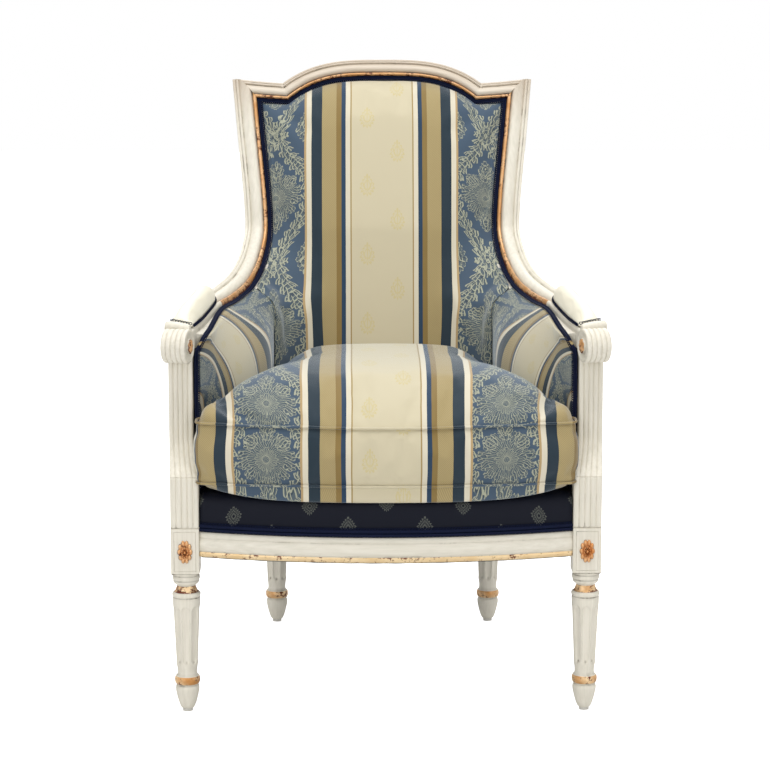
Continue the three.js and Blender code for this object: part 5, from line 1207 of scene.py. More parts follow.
def makeCushion():
    rows, columns = cushion["rows"], cushion["columns"]
    x, y, across, along = cushionPlan()
    ring = borderOf(rows, columns)
    border = np.stack([x.ravel()[ring], y.ravel()[ring]], axis=1)
    tangent = np.roll(border, -1, 0) - np.roll(border, 1, 0)
    normal = np.stack([tangent[:, 1], -tangent[:, 0]], axis=1)
    normal /= np.linalg.norm(normal, axis=1, keepdims=True)
    centre = np.array([0, -138.8])
    angles = np.arctan2(border[:, 1] - centre[1], border[:, 0] - centre[0])
    reaches = np.hypot(border[:, 0], border[:, 1] - centre[1])
    order = np.argsort(angles)
    table = np.interp(np.linspace(-math.pi, math.pi, 361), angles[order], reaches[order], period=2 * math.pi)
    smooth = np.convolve(np.r_[table[-9:], table, table[:9]], np.ones(9) / 9, "same")[9:-9]
    edge = np.interp(np.arctan2(y - centre[1], x), np.linspace(-math.pi, math.pi, 361), smooth)
    share = np.clip(np.hypot(x, y - centre[1]) / edge, 0, 1)
    inner = np.minimum(1, np.minimum(1 - np.abs(across), np.minimum(along, 1 - along)) * 14)
    seamDrop = cushion["droop"] * (np.abs(x) / cushion["earX"]) ** 3 * np.clip(1 - along * 3, 0, 1)
    dip = cushion["dip"] * (1 - (np.abs(x) / cushion["earX"]) ** 2) * np.clip(1 - along * 4, 0, 1)
    insetX = x * (1 - cushion["inset"] / 285)
    insetY = centre[1] + (y - centre[1]) * (1 - cushion["inset"] / 210)
    ear = np.clip(np.abs(x) / cushion["earX"] / 0.4 - 1.5, 0, 1)
    power = mix(0.6, mix(0.42, 0.34, ear), np.clip(1 - along * 4, 0, 1))
    rise = cushion["crown"] * cushion["start"] * (1 - share ** 3.2) ** power * inner ** mix(0.35, 0.22, ear)
    rise *= 1 - 0.36 * np.exp(-((np.abs(x) - 257) / 26) ** 2) * np.clip(1.6 - along * 5, 0, 1)
    top = triple(insetX, insetY, cushion["seamHigh"] - seamDrop - dip + rise)
    sink = (cushion["seamLow"] - cushion["bottom"]) * np.clip(inner * 1.4, 0, 1) ** 0.6
    lift = 13 * (np.abs(x) / cushion["earX"]) ** 5 * np.clip(1 - along * 6, 0, 1) * np.clip(inner * 3, 0, 1)
    # behind the front seam the cloth falls almost straight, then turns under over the roll of the deck
    middle = (1 - (np.abs(x) / cushion["earX"]) ** 4) * np.clip((1 - np.abs(across)) * 9, 0, 1)
    behind = insetY - insetY[0]
    sink = mix(sink, np.interp(behind, *cushionHang[:2]), middle * (behind < 28))
    lowY = insetY - middle * np.interp(behind, cushionHang[0], cushionHang[2])
    lowZ = cushion["seamLow"] - seamDrop * 0.6 - sink + seamDrop * 0.6 * np.clip(inner * 1.4, 0, 1) + lift
    bottom = triple(insetX, lowY, lowZ)
    topRing, bottomRing = top.reshape(-1, 3)[ring], bottom.reshape(-1, 3)[ring]
    outward = np.c_[normal, np.zeros(len(ring))]
    if np.dot(normal[columns // 2], [0, -1]) < 0:
        outward = -outward
    box = []
    for r in range(1, cushion["boxRows"]):
        s = r / cushion["boxRows"]
        box.append(mix(topRing, bottomRing, s) + outward * cushion["inset"] * math.sin(math.pi * s) ** 0.6)
    count, side = rows * columns, len(ring)
    points = np.vstack([top.reshape(-1, 3), bottom.reshape(-1, 3)] + box)
    faces = gridFaces(rows, columns)
    kinds = [0] * len(faces)
    lower = [tuple(i + count for i in face[::-1]) for face in gridFaces(rows, columns)]
    faces += lower
    kinds += [1] * len(lower)
    between = [[2 * count + r * side + i for i in range(side)] for r in range(cushion["boxRows"] - 1)]
    layers = [ring, *between, [i + count for i in ring]]
    for upper, under in zip(layers, layers[1:]):
        for i in range(side):
            faces.append((upper[i], under[i], under[(i + 1) % side], upper[(i + 1) % side]))
            kinds.append(2)
    held = list(ring) + [i + count for i in range(count)]
    moved = inflate(points, faces, held, cushion["cap"], grow=0.035, bending=0.6)
    # the cushion rests on the deck's roll
    floor = readTable(moved[:, 1] - frontRailY(moved[:, 0]), cushion["floor"])
    moved[:, 2] = np.maximum(moved[:, 2], floor)
    moved[:, 1] = np.maximum(moved[:, 1], -364.6 - 7)
    # how far the boxing has run round from the middle of the front
    start = columns // 2
    step = np.linalg.norm(np.roll(border, -1, 0) - border, axis=1)
    run = np.concatenate([[0], np.cumsum(step)])[:-1]
    run = run - run[start]
    whole = step.sum()
    run = np.where(run > whole / 2, run - whole, run)
    onFront = np.array([i < columns for i in range(len(ring))])
    edgeRun = run[columns - 1]
    run = np.where(onFront, topRing[:, 0], np.sign(run) * (topRing[columns - 1, 0] + np.abs(run) - edgeRun))
    boxUv = {}
    for layer, ids in enumerate(layers):
        for i, vertex in enumerate(ids):
            boxUv[vertex] = (run[i], 4 + (0.5 - layer / cushion["boxRows"]) * 96)
    flat = np.stack([insetX.ravel(), y.ravel() + 296], axis=1)
    topUv = np.stack([insetX.ravel(), runAlong(top).ravel() - 38], axis=1)
    table = []
    for face, kind in zip(faces, kinds):
        if kind == 0:
            table += [tuple(topUv[v]) for v in face]
        elif kind == 1:
            table += [(flat[v - count][0], -flat[v - count][1]) for v in face]
        else:
            us = [boxUv[v][0] for v in face]
            wrapAt = max(us) - min(us) > 300
            table += [(u + (whole if wrapAt and u < 0 else 0), boxUv[v][1]) for u, v in zip(us, face)]
    pad("seatCushion", moved, faces, table, "seat_cushion", damask, "striped_damask", 0.85, "cushion")
    # self-piping on both seams
    for end, rim, lift in (("Top", topRing, 1.2), ("Bottom", bottomRing, 0)):
        path = rim + outward * 2.3 + up * lift
        path = resample(np.vstack([path, path[:1]]), 3.0)[:-1]
        wobble = np.array([noise.noise(Vector((p[0] * 0.02, p[1] * 0.02, 3.1))) for p in path])
        path[:, 2] += wobble * 1.4
        sides = 10
        welt, weltFaces = cordAlong(path, cushion["welt"], sides, closed=True)
        uv = [(path[v // sides][0], 150 + (v % sides) * 1.7) for face in weltFaces for v in face]
        piece = addPiece("cushionWelt" + end, welt, weltFaces, [damask], uv=uv, sharpAngle=80)
        dress(piece, ["cushion_welt_" + end.lower()], "cushion")


# Inside back: one crowned pad that fills the frame and runs down behind the seat
insideBack = {"foot": 340, "lowHalf": 189.5, "centreLow": 139.35, "edgeLow": 93.35, "crown": 22,
              "columns": 66, "rows": 92, "cap": 7}
frameSlope = math.tan(lean)


def framePlaneY(z):
    return innerCorner[1] + (z - innerCorner[2]) * frameSlope


def padFaceY(z):
    rise = (z - insideBack["foot"]) / (chair["waist"] - insideBack["foot"])
    low = mix(insideBack["centreLow"], waistY - insideBack["crown"], rise)
    return np.maximum(framePlaneY(z) - insideBack["crown"], low)


def backSide():
    low, high = insideBack["foot"], chair["armFront"]
    side = [(insideBack["lowHalf"], insideBack["edgeLow"] + 2, mix(low, high, s)) for s in (0, 0.4, 0.75)]
    side += [(insideBack["lowHalf"], insideBack["edgeLow"] + 8, mix(low, high, 0.95))]
    for i in range(24):
        side.append(tuple(placeOn(mix(4.05 / spans, 1, (i / 24) ** 1.1), -7.4, -11.2)))
    side.append(tuple(onBack(innerCorner[0] - 7.4, -7.4, -11.2)))
    return np.array(side)


def makeInsideBack():
    side = resample(guideLine(backSide()), 1.5)
    ledge = np.array([placeOn(mix(3.6 / spans, 1, i / 60), -13.4, -10.8) for i in range(61)])
    heights = np.linspace(side[0, 2], side[-1, 2], insideBack["rows"])
    edgeX, edgeY = np.interp(heights, side[:, 2], side[:, 0]), np.interp(heights, side[:, 2], side[:, 1])
    across = crowded(insideBack["columns"], 0.9)
    front, back = [], []
    for r, z0 in enumerate(heights):
        rise = (z0 - heights[0]) / (heights[-1] - heights[0])
        x = edgeX[r] * across
        arch = np.array([archHeight(v) for v in x])
        z = z0 + arch * math.cos(lean) * rise ** 3
        toTop = (1 - rise) * (heights[-1] - heights[0])
        roll = math.sqrt(max(0.0, 1 - max(0.0, 1 - toTop / 34) ** 2))
        edgeAt = edgeY[r]
        rim = mix(framePlaneY(z) + 11.4, edgeAt, np.abs(across) ** 8) if z0 > chair["waist"] else edgeAt
        if z0 > chair["waist"] - 60:
            crowned = mix(rim, padFaceY(z), (1 - np.abs(across) ** 5.0) ** 0.75)
        else:
            crowned = mix(edgeAt, padFaceY(z), (1 - np.abs(across) ** 4.0) ** 0.85)
        y = mix(rim, crowned, roll)
        ledgeX, ledgeY = np.interp(z0, ledge[:, 2], ledge[:, 0]), np.interp(z0, ledge[:, 2], ledge[:, 1])
        if ledge[0, 2] < z0 < chair["waist"] + 60:
            onLedge = np.interp(np.abs(x), [ledgeX, edgeX[r]], [ledgeY, edgeAt])
            y = np.minimum(y, mix(onLedge, y, ease(np.clip((ledgeX - np.abs(x)) / 6, 0, 1))))
        front.append(triple(x, y, z))
        backX = min(abs(edgeX[r]), waistX - 20 - 12.6) if z0 < chair["waist"] else edgeX[r]
        behind = np.maximum(framePlaneY(z), waistY) + 4
        back.append(triple(across * backX, np.maximum(behind, y + 2), z))
    front, back = np.array(front), np.array(back)
    points, faces, ring = shell(front, back)
    count = front.shape[0] * front.shape[1]
    held = ring + list(range(count, 2 * count))
    points = inflate(points, faces, held, insideBack["cap"], grow=0.008, pressure=2.0)
    arc = runAlong(front)
    middle = arc[:, arc.shape[1] // 2][:, None]
    u = front[:, :, 0] * np.where(front[:, :, 0] < 0, 0.972, 1.0)
    uv = shellUv(u, mix(arc, middle, 0.8) - arc[-1].mean() + 122 + 86)
    pad("insideBack", points, faces, uv, "inside_back_pad", damask, "striped_damask", 0.8)


def guideLine(points, steps=10):
    curve = guideCurve(points)
    return np.array([curve(i / ((len(points) - 1) * steps)) for i in range((len(points) - 1) * steps + 1)])


# Inside arms: padded from the seat up to the ledge of the arm, stripes fanning from the seat to the rail
insideArm = {"foot": 334.8, "flareFrom": 455, "lip": 8, "columns": 60, "rows": 44, "cap": 4, "gap": 0.3}
# Where each place of the cloth lies along the arm: (cloth, share at the seat, share under the rail)
fan = [(-255, 0, -0.5), (-184, 0.12, -0.3), (-128, 0.203, -0.13), (-112, 0.237, -0.09), (-60, 0.305, 0.02),
       (52, 0.545, 0.339), (90, 0.63, 0.43), (112, 0.735, 0.475), (133, 0.82, 0.525), (184, 0.95, 0.76),
       (233, 1.12, 1.03)]


# The trim crosses the arm's ledge before the post, turns down in front of its end and follows the post
trim = {
    "leaves": 0.18, "over": 0.06, "slide": [(0.06, 10), (0.08, 8.4), (0.11, 5.4), (0.14, 2.4), (0.18, 0)],
    "place": -3.6, "depth": -9.6, "across": unit([1.0, 0.08, 0]), "out": unit([0.08, -1.0, 0.1]),
    "turn": [(288.5, -247, 598.5), (293.5, -256, 588.5), (298.6, -264, 579)],
    "drop": [(298.6, -264, 579), (299.2, -267, 562), (299.2, -270, 530), (298.9, -272, 480),
             (296.4, -272, 432), (296, -272, 352)],
}
trimDrop = guideCurve(trim["drop"])
trimTurn = guideCurve([placeOn(trim["over"], trim["place"] - trim["slide"][0][1], trim["depth"])]
                      + trim["turn"])


def trimSection(t):
    origin, across, out, _ = sectionAt(t)
    if t >= trim["leaves"]:
        return origin, across, out
    if t > trim["over"]:
        centre = placeOn(t, trim["place"] - readTable(t, trim["slide"]), trim["depth"])
    else:
        centre = trimTurn(1 - t / trim["over"])
    share = ease(1 - t / trim["leaves"])
    across, out = unit(mix(across, trim["across"], share)), unit(mix(out, trim["out"], share))
    return centre - across * trim["place"] - out * trim["depth"], across, out


def trimPlace(t, u, v):
    origin, across, out = trimSection(t)
    return origin + across * u + out * v


# Draws a row of the pad towards a line, by as much as each place is held
def pullRow(row, held, line, aside):
    for axis in (0, 1):
        row[:, axis] = mix(row[:, axis], np.interp(row[:, 2], line[:, 2], line[:, axis]) + aside[axis], held)


def insideArmGrid():
    s = np.linspace(0, 1, insideArm["columns"])
    base = np.array([innerGuide(v) for v in s])
    t = mix(jointAt / 12, jointAt, s)
    gap = insideArm["gap"]
    tucked = [ease((trim["leaves"] - a) / 0.1) for a in t]
    reach = [mix(-12 - gap * 6 - insideArm["lip"] * math.sqrt(v), -10, w) for v, w in zip(s, tucked)]
    top = np.array([trimPlace(a, v, -12 - gap) for a, v in zip(t, reach)])
    topBack = np.array([trimPlace(a, -12 - gap * 2, -12 - gap) for a in t])
    front, back = [], []
    for rise in np.linspace(0, 1, insideArm["rows"]):
        z = mix(insideArm["foot"], top[:, 2], rise)
        flared = np.clip((z - insideArm["flareFrom"]) / (top[:, 2] - insideArm["flareFrom"]), 0, 1)
        flare = flared ** mix(1.5, 8, s ** 2)
        front.append(triple(mix(base[:, 0], top[:, 0], flare), mix(base[:, 1], top[:, 1], rise ** 2), z))
        backX = mix(np.maximum(topBack[:, 0], base[:, 0] + insideArm["lip"]), topBack[:, 0], rise ** 6)
        backZ = mix(insideArm["foot"], topBack[:, 2], rise)
        back.append(triple(backX, mix(base[:, 1], topBack[:, 1], rise ** 2), backZ))
    # the rear edge is sewn to the back's seam, and the front edge is tacked to the post behind the piping
    seam = resample(guideLine(backSide()), 1.5)
    drop = np.array([trimDrop(v) for v in np.linspace(1, 0, 60)])
    for row in front:
        held = np.clip((s - 0.8) / 0.2, 0, 1) ** 2 * np.clip((row[:, 2] - 460) / 60, 0, 1)
        pullRow(row, held, seam, (-2.2, -4.5))
        high = np.clip((row[:, 2] - 498) / 24, 0, 1) * np.clip((602 - row[:, 2]) / 12, 0, 1)
        pullRow(row, np.clip(1 - s / 0.14, 0, 1) ** 1.5 * high, drop, (-6, 4))
    # below it the pad's front end turns back to the post
    for row in back:
        held = np.clip(1 - s / 0.06, 0, 1) * np.clip((602 - row[:, 2]) / 12, 0, 1)
        pullRow(row, held, np.zeros((1, 3)), (301.5, -258))
    for across, frontOut, backOut in ((-12.9, -10.4, -11.8), (-7.2, -10.6, -11.8)):
        places = [mix(across, -7.2, w) for w in tucked]
        front.append(np.array([trimPlace(a, v, frontOut) for a, v in zip(t, places)]))
        back.append(np.array([trimPlace(a, v - 0.2, backOut) for a, v in zip(t, places)]))
    return np.array(front), np.array(back), s


def makeInsideArms():
    front, back, s = insideArmGrid()
    rows, columns = front.shape[:2]
    cloth, atSeat, atRail = (np.array(column) for column in zip(*fan))
    spread = [np.clip((r / (rows - 3) - 0.35) / 0.65, 0, 1) ** 4.2 for r in range(rows)]
    u = np.array([np.interp(s, mix(atSeat, atRail, share), cloth) for share in spread])
    arc = runAlong(front)
    # the cloth turns with its stripes where they lean, so the flowers are not sheared
    step = np.zeros((rows, columns))
    step[:, 1:] = np.linalg.norm(np.diff(front, axis=1), axis=2)
    turn = np.cumsum(-np.gradient(u, axis=0) / np.gradient(arc, axis=0) * step, axis=1)
    turn = np.clip(turn - turn[:, columns // 2][:, None], -140, 140)
    points, faces, ring = shell(front, back)
    held = ring + list(range(rows * columns, 2 * rows * columns))
    points = inflate(points, faces, held, insideArm["cap"], grow=0.004, pressure=1.5)
    padPair("insideArm", points, faces, shellUv(u, arc - 104 + turn), "inside_arm_pad", damask,
            "striped_damask", 0.8)


# Arm pads: a domed cream pad behind each cap, edged with gimp
armPad = {"from": 0.25 / spans, "height": 25, "width": 36, "steps": 34, "around": 20}


def padHalf(share):
    return armPad["width"] / 2 * (max(0.35, (1 - (2 * share - 1) ** 4) ** 0.5) if share > 0.5 else 1)


def makeArmPads():
    rings = []
    for i in range(armPad["steps"] + 1):
        share = (1 - math.cos(math.pi * i / armPad["steps"])) / 2
        origin, across, out, _ = sectionAt(mix(armPad["from"], padEndAt, share))
        tall = armPad["height"] * max(0.08, (1 - abs(2 * share - 1) ** (2.8 if share < 0.5 else 5)) ** 0.5)
        square = mix(1.15, 0.78, ease(share * 3))
        half = padHalf(share)
        ring = []
        for k in range(armPad["around"] + 1):
            angle = math.pi * (1 - k / armPad["around"])
            aside = 20 + half * math.cos(angle) * (1 + 0.04 * math.sin(angle))
            ring.append(origin + across * aside + out * (0.4 + tall * math.sin(angle) ** square))
        rings.append(np.array(ring))
    points, faces, _, _ = loft(rings)
    held = [r * (armPad["around"] + 1) + k for r in range(len(rings)) for k in (0, armPad["around"])]
    held += list(range(armPad["around"] + 1)) + list(range(len(points) - armPad["around"] - 1, len(points)))
    points = inflate(points, faces, held, 1.5, grow=0.01, pressure=1.5)
    padPair("armPad", points, faces, points[:, :2], "arm_pad", creamSatin, "cream_satin", 0.9)


# Seat deck: sprung platform in navy with a soft front roll
deck = {
    "under": 334.9, "top": 359.6, "columns": 84, "topRows": 30,
    # front roll: (inset behind the rail's face, height)
    "roll": [(5.5, 297), (4.4, 303), (3.4, 309), (2.6, 316), (2.0, 324), (1.9, 332), (2.5, 339), (4.2, 345.5),
             (7.5, 351), (12.5, 355.2), (19, 357.9), (27, 359.2)],
}


def makeDeck():
    half = frontRailEnd
    across = np.linspace(-1, 1, deck["columns"])
    front = []
    for inset, z in deck["roll"]:
        x = across * half
        front.append(triple(x, frontRailY(x) + inset, np.full_like(x, z)))
    b = np.linspace(0, 1, deck["topRows"])[1:]
    for s in b:
        edgeY = mix(-262, 86, s)
        width = half if edgeY < -236 else min(innerAt(edgeY) - 0.8, half)
        width = min(width, 178.5) if edgeY > 84 else width
        x = across * width
        start = frontRailY(across * half) + 27
        rearY = np.interp(np.abs(x), [0, 90, 178], [134, 126, 90])
        y = mix(start, rearY, s)
        y = np.where(np.abs(across) > 0.999, np.maximum(y, edgeY), y)
        front.append(triple(x, y, np.full_like(x, deck["top"])))
    front = np.array(front)
    back = front.copy()
    back[:, :, 2] = np.where(front[:, :, 2] > 336, np.minimum(front[:, :, 2] - 1, deck["under"]),
        front[:, :, 2])
    behind = frontRailY(front[:, :, 0]) + 8.6
    low = front[:, :, 2] < 345
    back[:, :, 1] = np.where(low, behind, np.maximum(front[:, :, 1], behind))
    points, faces, _ = shell(front, back)
    fall = -np.minimum(front[:, :, 1], frontRailY(front[:, :, 0]) + 27) + (360 - front[:, :, 2])
    fall = np.where(front[:, :, 2] > 359.4, -front[:, :, 1], fall)
    pad("seatDeck", points, faces, shellUv(front[:, :, 0], 377 - fall), "seat_deck", navySatin, "navy_satin",
        0.95)


# Double piping: two wrapped cords on the ledge, with a row of picots along the cloth side
piping = {"radius": 1.7, "outer": -2.0, "inner": -5.3, "depth": -9.6, "picotAt": -7.5, "picotStep": 3.6,
          "wrap": 0.05}


# Geometry Nodes: sets a small loop of cord at every point, turned as the point says
def makePicotNodes():
    tree = bpy.data.node_groups.new("picotRow", "GeometryNodeTree")
    face = tree.interface
    face.new_socket("Points", in_out="INPUT", socket_type="NodeSocketGeometry")
    reach = face.new_socket("Loop radius", in_out="INPUT", socket_type="NodeSocketFloat")
    wire = face.new_socket("Cord radius", in_out="INPUT", socket_type="NodeSocketFloat")
    finish = face.new_socket("Finish", in_out="INPUT", socket_type="NodeSocketMaterial")
    face.new_socket("Loops", in_out="OUTPUT", socket_type="NodeSocketGeometry")
    given = addNode(tree, "NodeGroupInput")
    loop = addNode(tree, "GeometryNodeCurvePrimitiveCircle", None,
                   {"Resolution": 9, "Radius": given.outputs["Loop radius"]})
    section = addNode(tree, "GeometryNodeCurvePrimitiveCircle", None,
                      {"Resolution": 5, "Radius": given.outputs["Cord radius"]})
    shape = addNode(tree, "GeometryNodeCurveToMesh", None,
                    {"Curve": loop.outputs["Curve"], "Profile Curve": section.outputs["Curve"]})
    turn = addNode(tree, "GeometryNodeInputNamedAttribute", {"data_type": "FLOAT_VECTOR"}, {"Name": "turn"})
    inputs = {"Points": given.outputs["Points"], "Instance": shape.outputs[0], "Rotation": turn.outputs[0]}
    placed = addNode(tree, "GeometryNodeInstanceOnPoints", None, inputs)
    whole = addNode(tree, "GeometryNodeRealizeInstances", None, {0: placed.outputs[0]})
    dressed = addNode(tree, "GeometryNodeSetMaterial", None,
                      {"Geometry": whole.outputs[0], "Material": given.outputs["Finish"]})
    addNode(tree, "NodeGroupOutput", None, {0: dressed.outputs[0]})
    return tree, {"Loop radius": reach.identifier, "Cord radius": wire.identifier,
                  "Finish": finish.identifier}


picotNodes, picotSockets = makePicotNodes()


def picotRow(places, normals, loop=1.7, wire=0.7):
    mesh = bpy.data.meshes.new("picots")
    mesh.from_pydata([tuple(p) for p in np.asarray(places) * mm], [], [])
    turns = []
    for normal in normals:
        turns += list(Vector(normal).to_track_quat("Z", "Y").to_euler())
    mesh.attributes.new("turn", "FLOAT_VECTOR", "POINT").data.foreach_set("vector", turns)
    row = bpy.data.objects.new("picots", mesh)
    bpy.context.scene.collection.objects.link(row)
    modifier = row.modifiers.new("loops", "NODES")
    modifier.node_group = picotNodes
    modifier[picotSockets["Loop radius"]] = loop * mm
    modifier[picotSockets["Cord radius"]] = wire * mm
    modifier[picotSockets["Finish"]] = navyCord
    made = bpy.data.meshes.new_from_object(row.evaluated_get(bpy.context.evaluated_depsgraph_get()))
    bpy.data.objects.remove(row)
    piece = bpy.data.objects.new("picots", made)
    bpy.context.scene.collection.objects.link(piece)
    return piece


def cordPiece(name, path, radius):
    points, faces = cordAlong(resample(path, 1.6), radius, wrap=piping["wrap"])
    return addPiece(name, points, faces, [navyCord], sharpAngle=80)


def pipingAlong(name, sections, node):
    pieces = []
    for place in (piping["outer"], piping["inner"]):
        path = [origin + across * place + out * piping["depth"] for origin, across, out in sections]
        pieces.append(cordPiece(name, path, piping["radius"]))
    raised = piping["depth"] + 1.4
    path = np.array([origin + across * piping["picotAt"] + out * raised for origin, across, out in sections])
    fronts = np.array([out for _, _, out in sections])
    places = resample(path, piping["picotStep"])
    length = np.linspace(0, 1, len(places))
    whole = runLength(path)
    normals = triple(*(np.interp(length * whole[-1], whole, fronts[:, k]) for k in range(3)))
    pieces.append(picotRow(places, normals))
    dress(joinPieces(name, pieces), [node])


def mirrorSection(section):
    return tuple(v * [-1, 1, 1] for v in section)


def makePiping():
    rise = [sectionAt(mix(jointAt, 1, i / 60))[:3] for i in range(60)]
    corner = (innerCorner, right * chair["crestWidth"] / 40 + leanUp * mitreRise / 40, leanFront)
    crest = []
    for i in range(1, 72):
        x = mix(innerCorner[0], -innerCorner[0], i / 72)
        slope = archHeight(x + 0.5) - archHeight(x - 0.5)
        crest.append((onBack(x, archHeight(x)), unit(leanUp - right * slope), leanFront))
    crest = [c for c in crest if 7 < innerCorner[0] - abs(c[0][0])]
    stations = rise + [corner] + crest + [mirrorSection(corner)] + [mirrorSection(s) for s in rise[::-1]]
    pipingAlong("backPiping", stations, "back_piping")
    # along the arm's ledge, then down behind the post to the seat
    arm = [trimSection(mix(0, jointAt, i / 90)) for i in range(90, -1, -1)]
    aside = trim["across"] * trim["place"]
    arm += [(trimDrop(i / 60) - aside - trim["out"] * trim["depth"], trim["across"], trim["out"])
            for i in range(1, 61)]
    pipingAlong("armPipingRight", arm, "arm_piping_right")
    pipingAlong("armPipingLeft", [mirrorSection(s) for s in arm], "arm_piping_left")
    # along the foot of the deck's cover
    pieces = []
    for z in (300.3, 306.2):
        xs = np.linspace(-frontRailEnd + 0.5, frontRailEnd - 0.5, 90)
        pieces.append(cordPiece("frontPiping", [(x, frontRailY(x) + 2.4, z) for x in xs], 2.85))
    xs = np.linspace(-frontRailEnd + 3, frontRailEnd - 3, 132)
    pieces.append(picotRow([(x, frontRailY(x) + 1.6, 310.2) for x in xs], [(0, -1, 0.05)] * len(xs)))
    dress(joinPieces("frontPiping", pieces), ["front_piping"])


# Gimp round the arm pads: rides with each pad's piece of cloth
def makePadGimp():
    for side in ("Right", "Left"):
        places, normals = [], []
        for edge in (-1, 1):
            for i in range(2, 40):
                share = i / 40
                origin, across, out, _ = sectionAt(mix(armPad["from"], padEndAt, share))
                places.append(origin + across * (20 + edge * (padHalf(share) + 0.6)) + out * 1.5)
                normals.append(across * edge + out * 0.6)
        origin, across, out, tangent = sectionAt(armPad["from"])
        for k in range(8):
            places.append(origin + across * (4.6 + k * 4.4) - tangent * 0.8 + out * 5.2)
            normals.append(np.array([0, -1, 0.6]))
        if side == "Left":
            places, normals = mirrorPoints(places), mirrorPoints(normals)
        piece = picotRow(places, normals, 2.2, 0.65)
        piece.name = "armPadGimp" + side
        dress(piece, [])


# Outside back and arms: cloth pulled flat over thin wadding
outside = {"foot": 296.6, "thickness": 3.6}


def postShare(z):
    return np.clip((z - 302.3) / (chair["waist"] - 11.5 - 302.3), 0, 1)


def rearFaceY(z):
    s = postShare(z)
    post = mix(chair["rearLegY"], waistY + 19, s ** 0.8) + mix(45, 27, s) / 2
    wood = framePlaneY(z) + chair["thickness"] / math.cos(lean)
    return np.maximum(np.where(z > 712, wood, post), np.where(z > chair["waist"] - 34, wood, post))


def makeOutsideBack():
    sideTop = innerCorner[2] + mitreRise / 4
    near, far = [], []
    across = np.linspace(-1, 1, 42)
    for rise in np.linspace(0, 1, 64):
        rowZ = mix(outside["foot"], sideTop, rise)
        leanShare = np.clip((rowZ - chair["waist"]) / (sideTop - chair["waist"]), 0, 1)
        half = mix(mix(chair["rearLegX"], waistX, float(postShare(rowZ)) ** 1.4), cornerX - 6, leanShare)
        x = half * across
        z = rowZ + np.array([archHeight(v / half * innerCorner[0]) + earDrop / 2 for v in x]) * rise ** 4
        y = rearFaceY(z)
        soft = 1 + outside["thickness"] * (1 - np.abs(across) ** 6) * min(1, rise * 12, (1 - rise) * 12)
        near.append(triple(x, y + 1.9, z))
        far.append(triple(x, y + 2.0 + soft * 0.78, z))
    near, far = np.array(near), np.array(far)
    points, faces, _ = shell(far, near)
    uv = shellUv(far[:, :, 0], runAlong(far) + 20)
    pad("outsideBack", points, faces, uv, "outside_back_panel", navySatin, "navy_satin", 1.0)


def makeOutsideArms():
    rearY = railTo - 0.3
    half = chair["railThickness"] / 2 * sideStretch
    near, far = [], []
    for rise in np.linspace(0, 1, 34):
        nearRow, farRow = [], []
        for share in np.linspace(0, 1, 48):
            t = mix(jointAt / 12, 6 / spans, share)
            outerTop, innerTop = placeOn(t, 28.8, -34.9), placeOn(t, 25.0, -34.9)
            z = mix(outside["foot"], outerTop[2], rise)
            y = mix(postBack(postSwing(z)) + 0.9, rearY, share)
            outer = sideRailX(y) + half - 0.3
            bulge = 1.6 * math.sin(math.pi * share) * math.sin(math.pi * rise)
            shift = rise ** 2 if share else 0
            farRow.append((mix(outer, outerTop[0], rise) + bulge, mix(y, outerTop[1], shift), z))
            low = mix(outside["foot"], innerTop[2], rise)
            nearRow.append((mix(outer - 3.8, innerTop[0], rise), mix(y, innerTop[1], shift), low))
        near.append(nearRow)
        far.append(farRow)
    near, far = np.array(near), np.array(far)
    points, faces, _ = shell(far, near)
    uv = shellUv(runAlong(far, 1) - 250, runAlong(far) + 20)
    padPair("outsideArm", points, faces, uv, "outside_arm_panel", navySatin, "navy_satin", 1.0)


# Webbing: jute straps woven over and under, tacked on top of the rails
webbing = {"width": 48, "thickness": 1.2, "low": 330.3, "high": 332.1, "step": 6, "columns": 9}


def makeWebbing():
    boxes = {name: [[v / mm for v in corner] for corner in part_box(name)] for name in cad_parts
             if name.startswith("webbing")}
    middles = {name: [(low + high) / 2 for low, high in zip(*corners)] for name, corners in boxes.items()}
    along = sorted((m[0], name) for name, m in middles.items() if "lengthwise" in name)
    crossing = sorted((m[1], name) for name, m in middles.items() if "crosswise" in name)
    half = webbing["width"] / 2 + webbing["thickness"]
    for straps, others, axis in ((along, crossing, 1), (crossing, along, 0)):
        for i, (place, name) in enumerate(straps):
            low, high = boxes[name]
            run = np.arange(low[axis], high[axis] + 1, webbing["step"])
            run[-1] = high[axis]
            over = [(c + i) % 2 == (1 if axis == 1 else 0) for c in range(len(others))]
            level = np.full(len(run), 0.0)
            for (at, _), up in zip(others, over):
                level = np.where(up, np.maximum(level, ease(1.6 - np.abs(run - at) / half)), level)
            height = mix(webbing["low"], webbing["high"], level)
            across = np.linspace(-1, 1, webbing["columns"]) * webbing["width"] / 2
            grid = np.zeros((len(run), len(across), 3))
            grid[:, :, axis] = run[:, None]
            grid[:, :, 1 - axis] = place + across[None, :]
            grid[:, :, 2] = height[:, None] + webbing["thickness"]
            under = grid - [0, 0, webbing["thickness"]]
            points, faces, _ = shell(grid, under) if axis == 0 else shell(grid[:, ::-1], under[:, ::-1])
            plain = "".join(part.capitalize() if k else part for k, part in enumerate(name.split("_")))
            dress(addPiece(plain, points, faces, [jute]), [name])


# Dust cover: black cambric tacked under the rails, a little slack between its tacks
dustCover = {
    "level": 255.1, "thickness": 0.7, "sag": 0.35, "pucker": 0.3, "tackStep": 38, "columns": 90, "rows": 90,
    "frontHalf": 292.2, "rearHalf": 166.2, "block": 26,
}


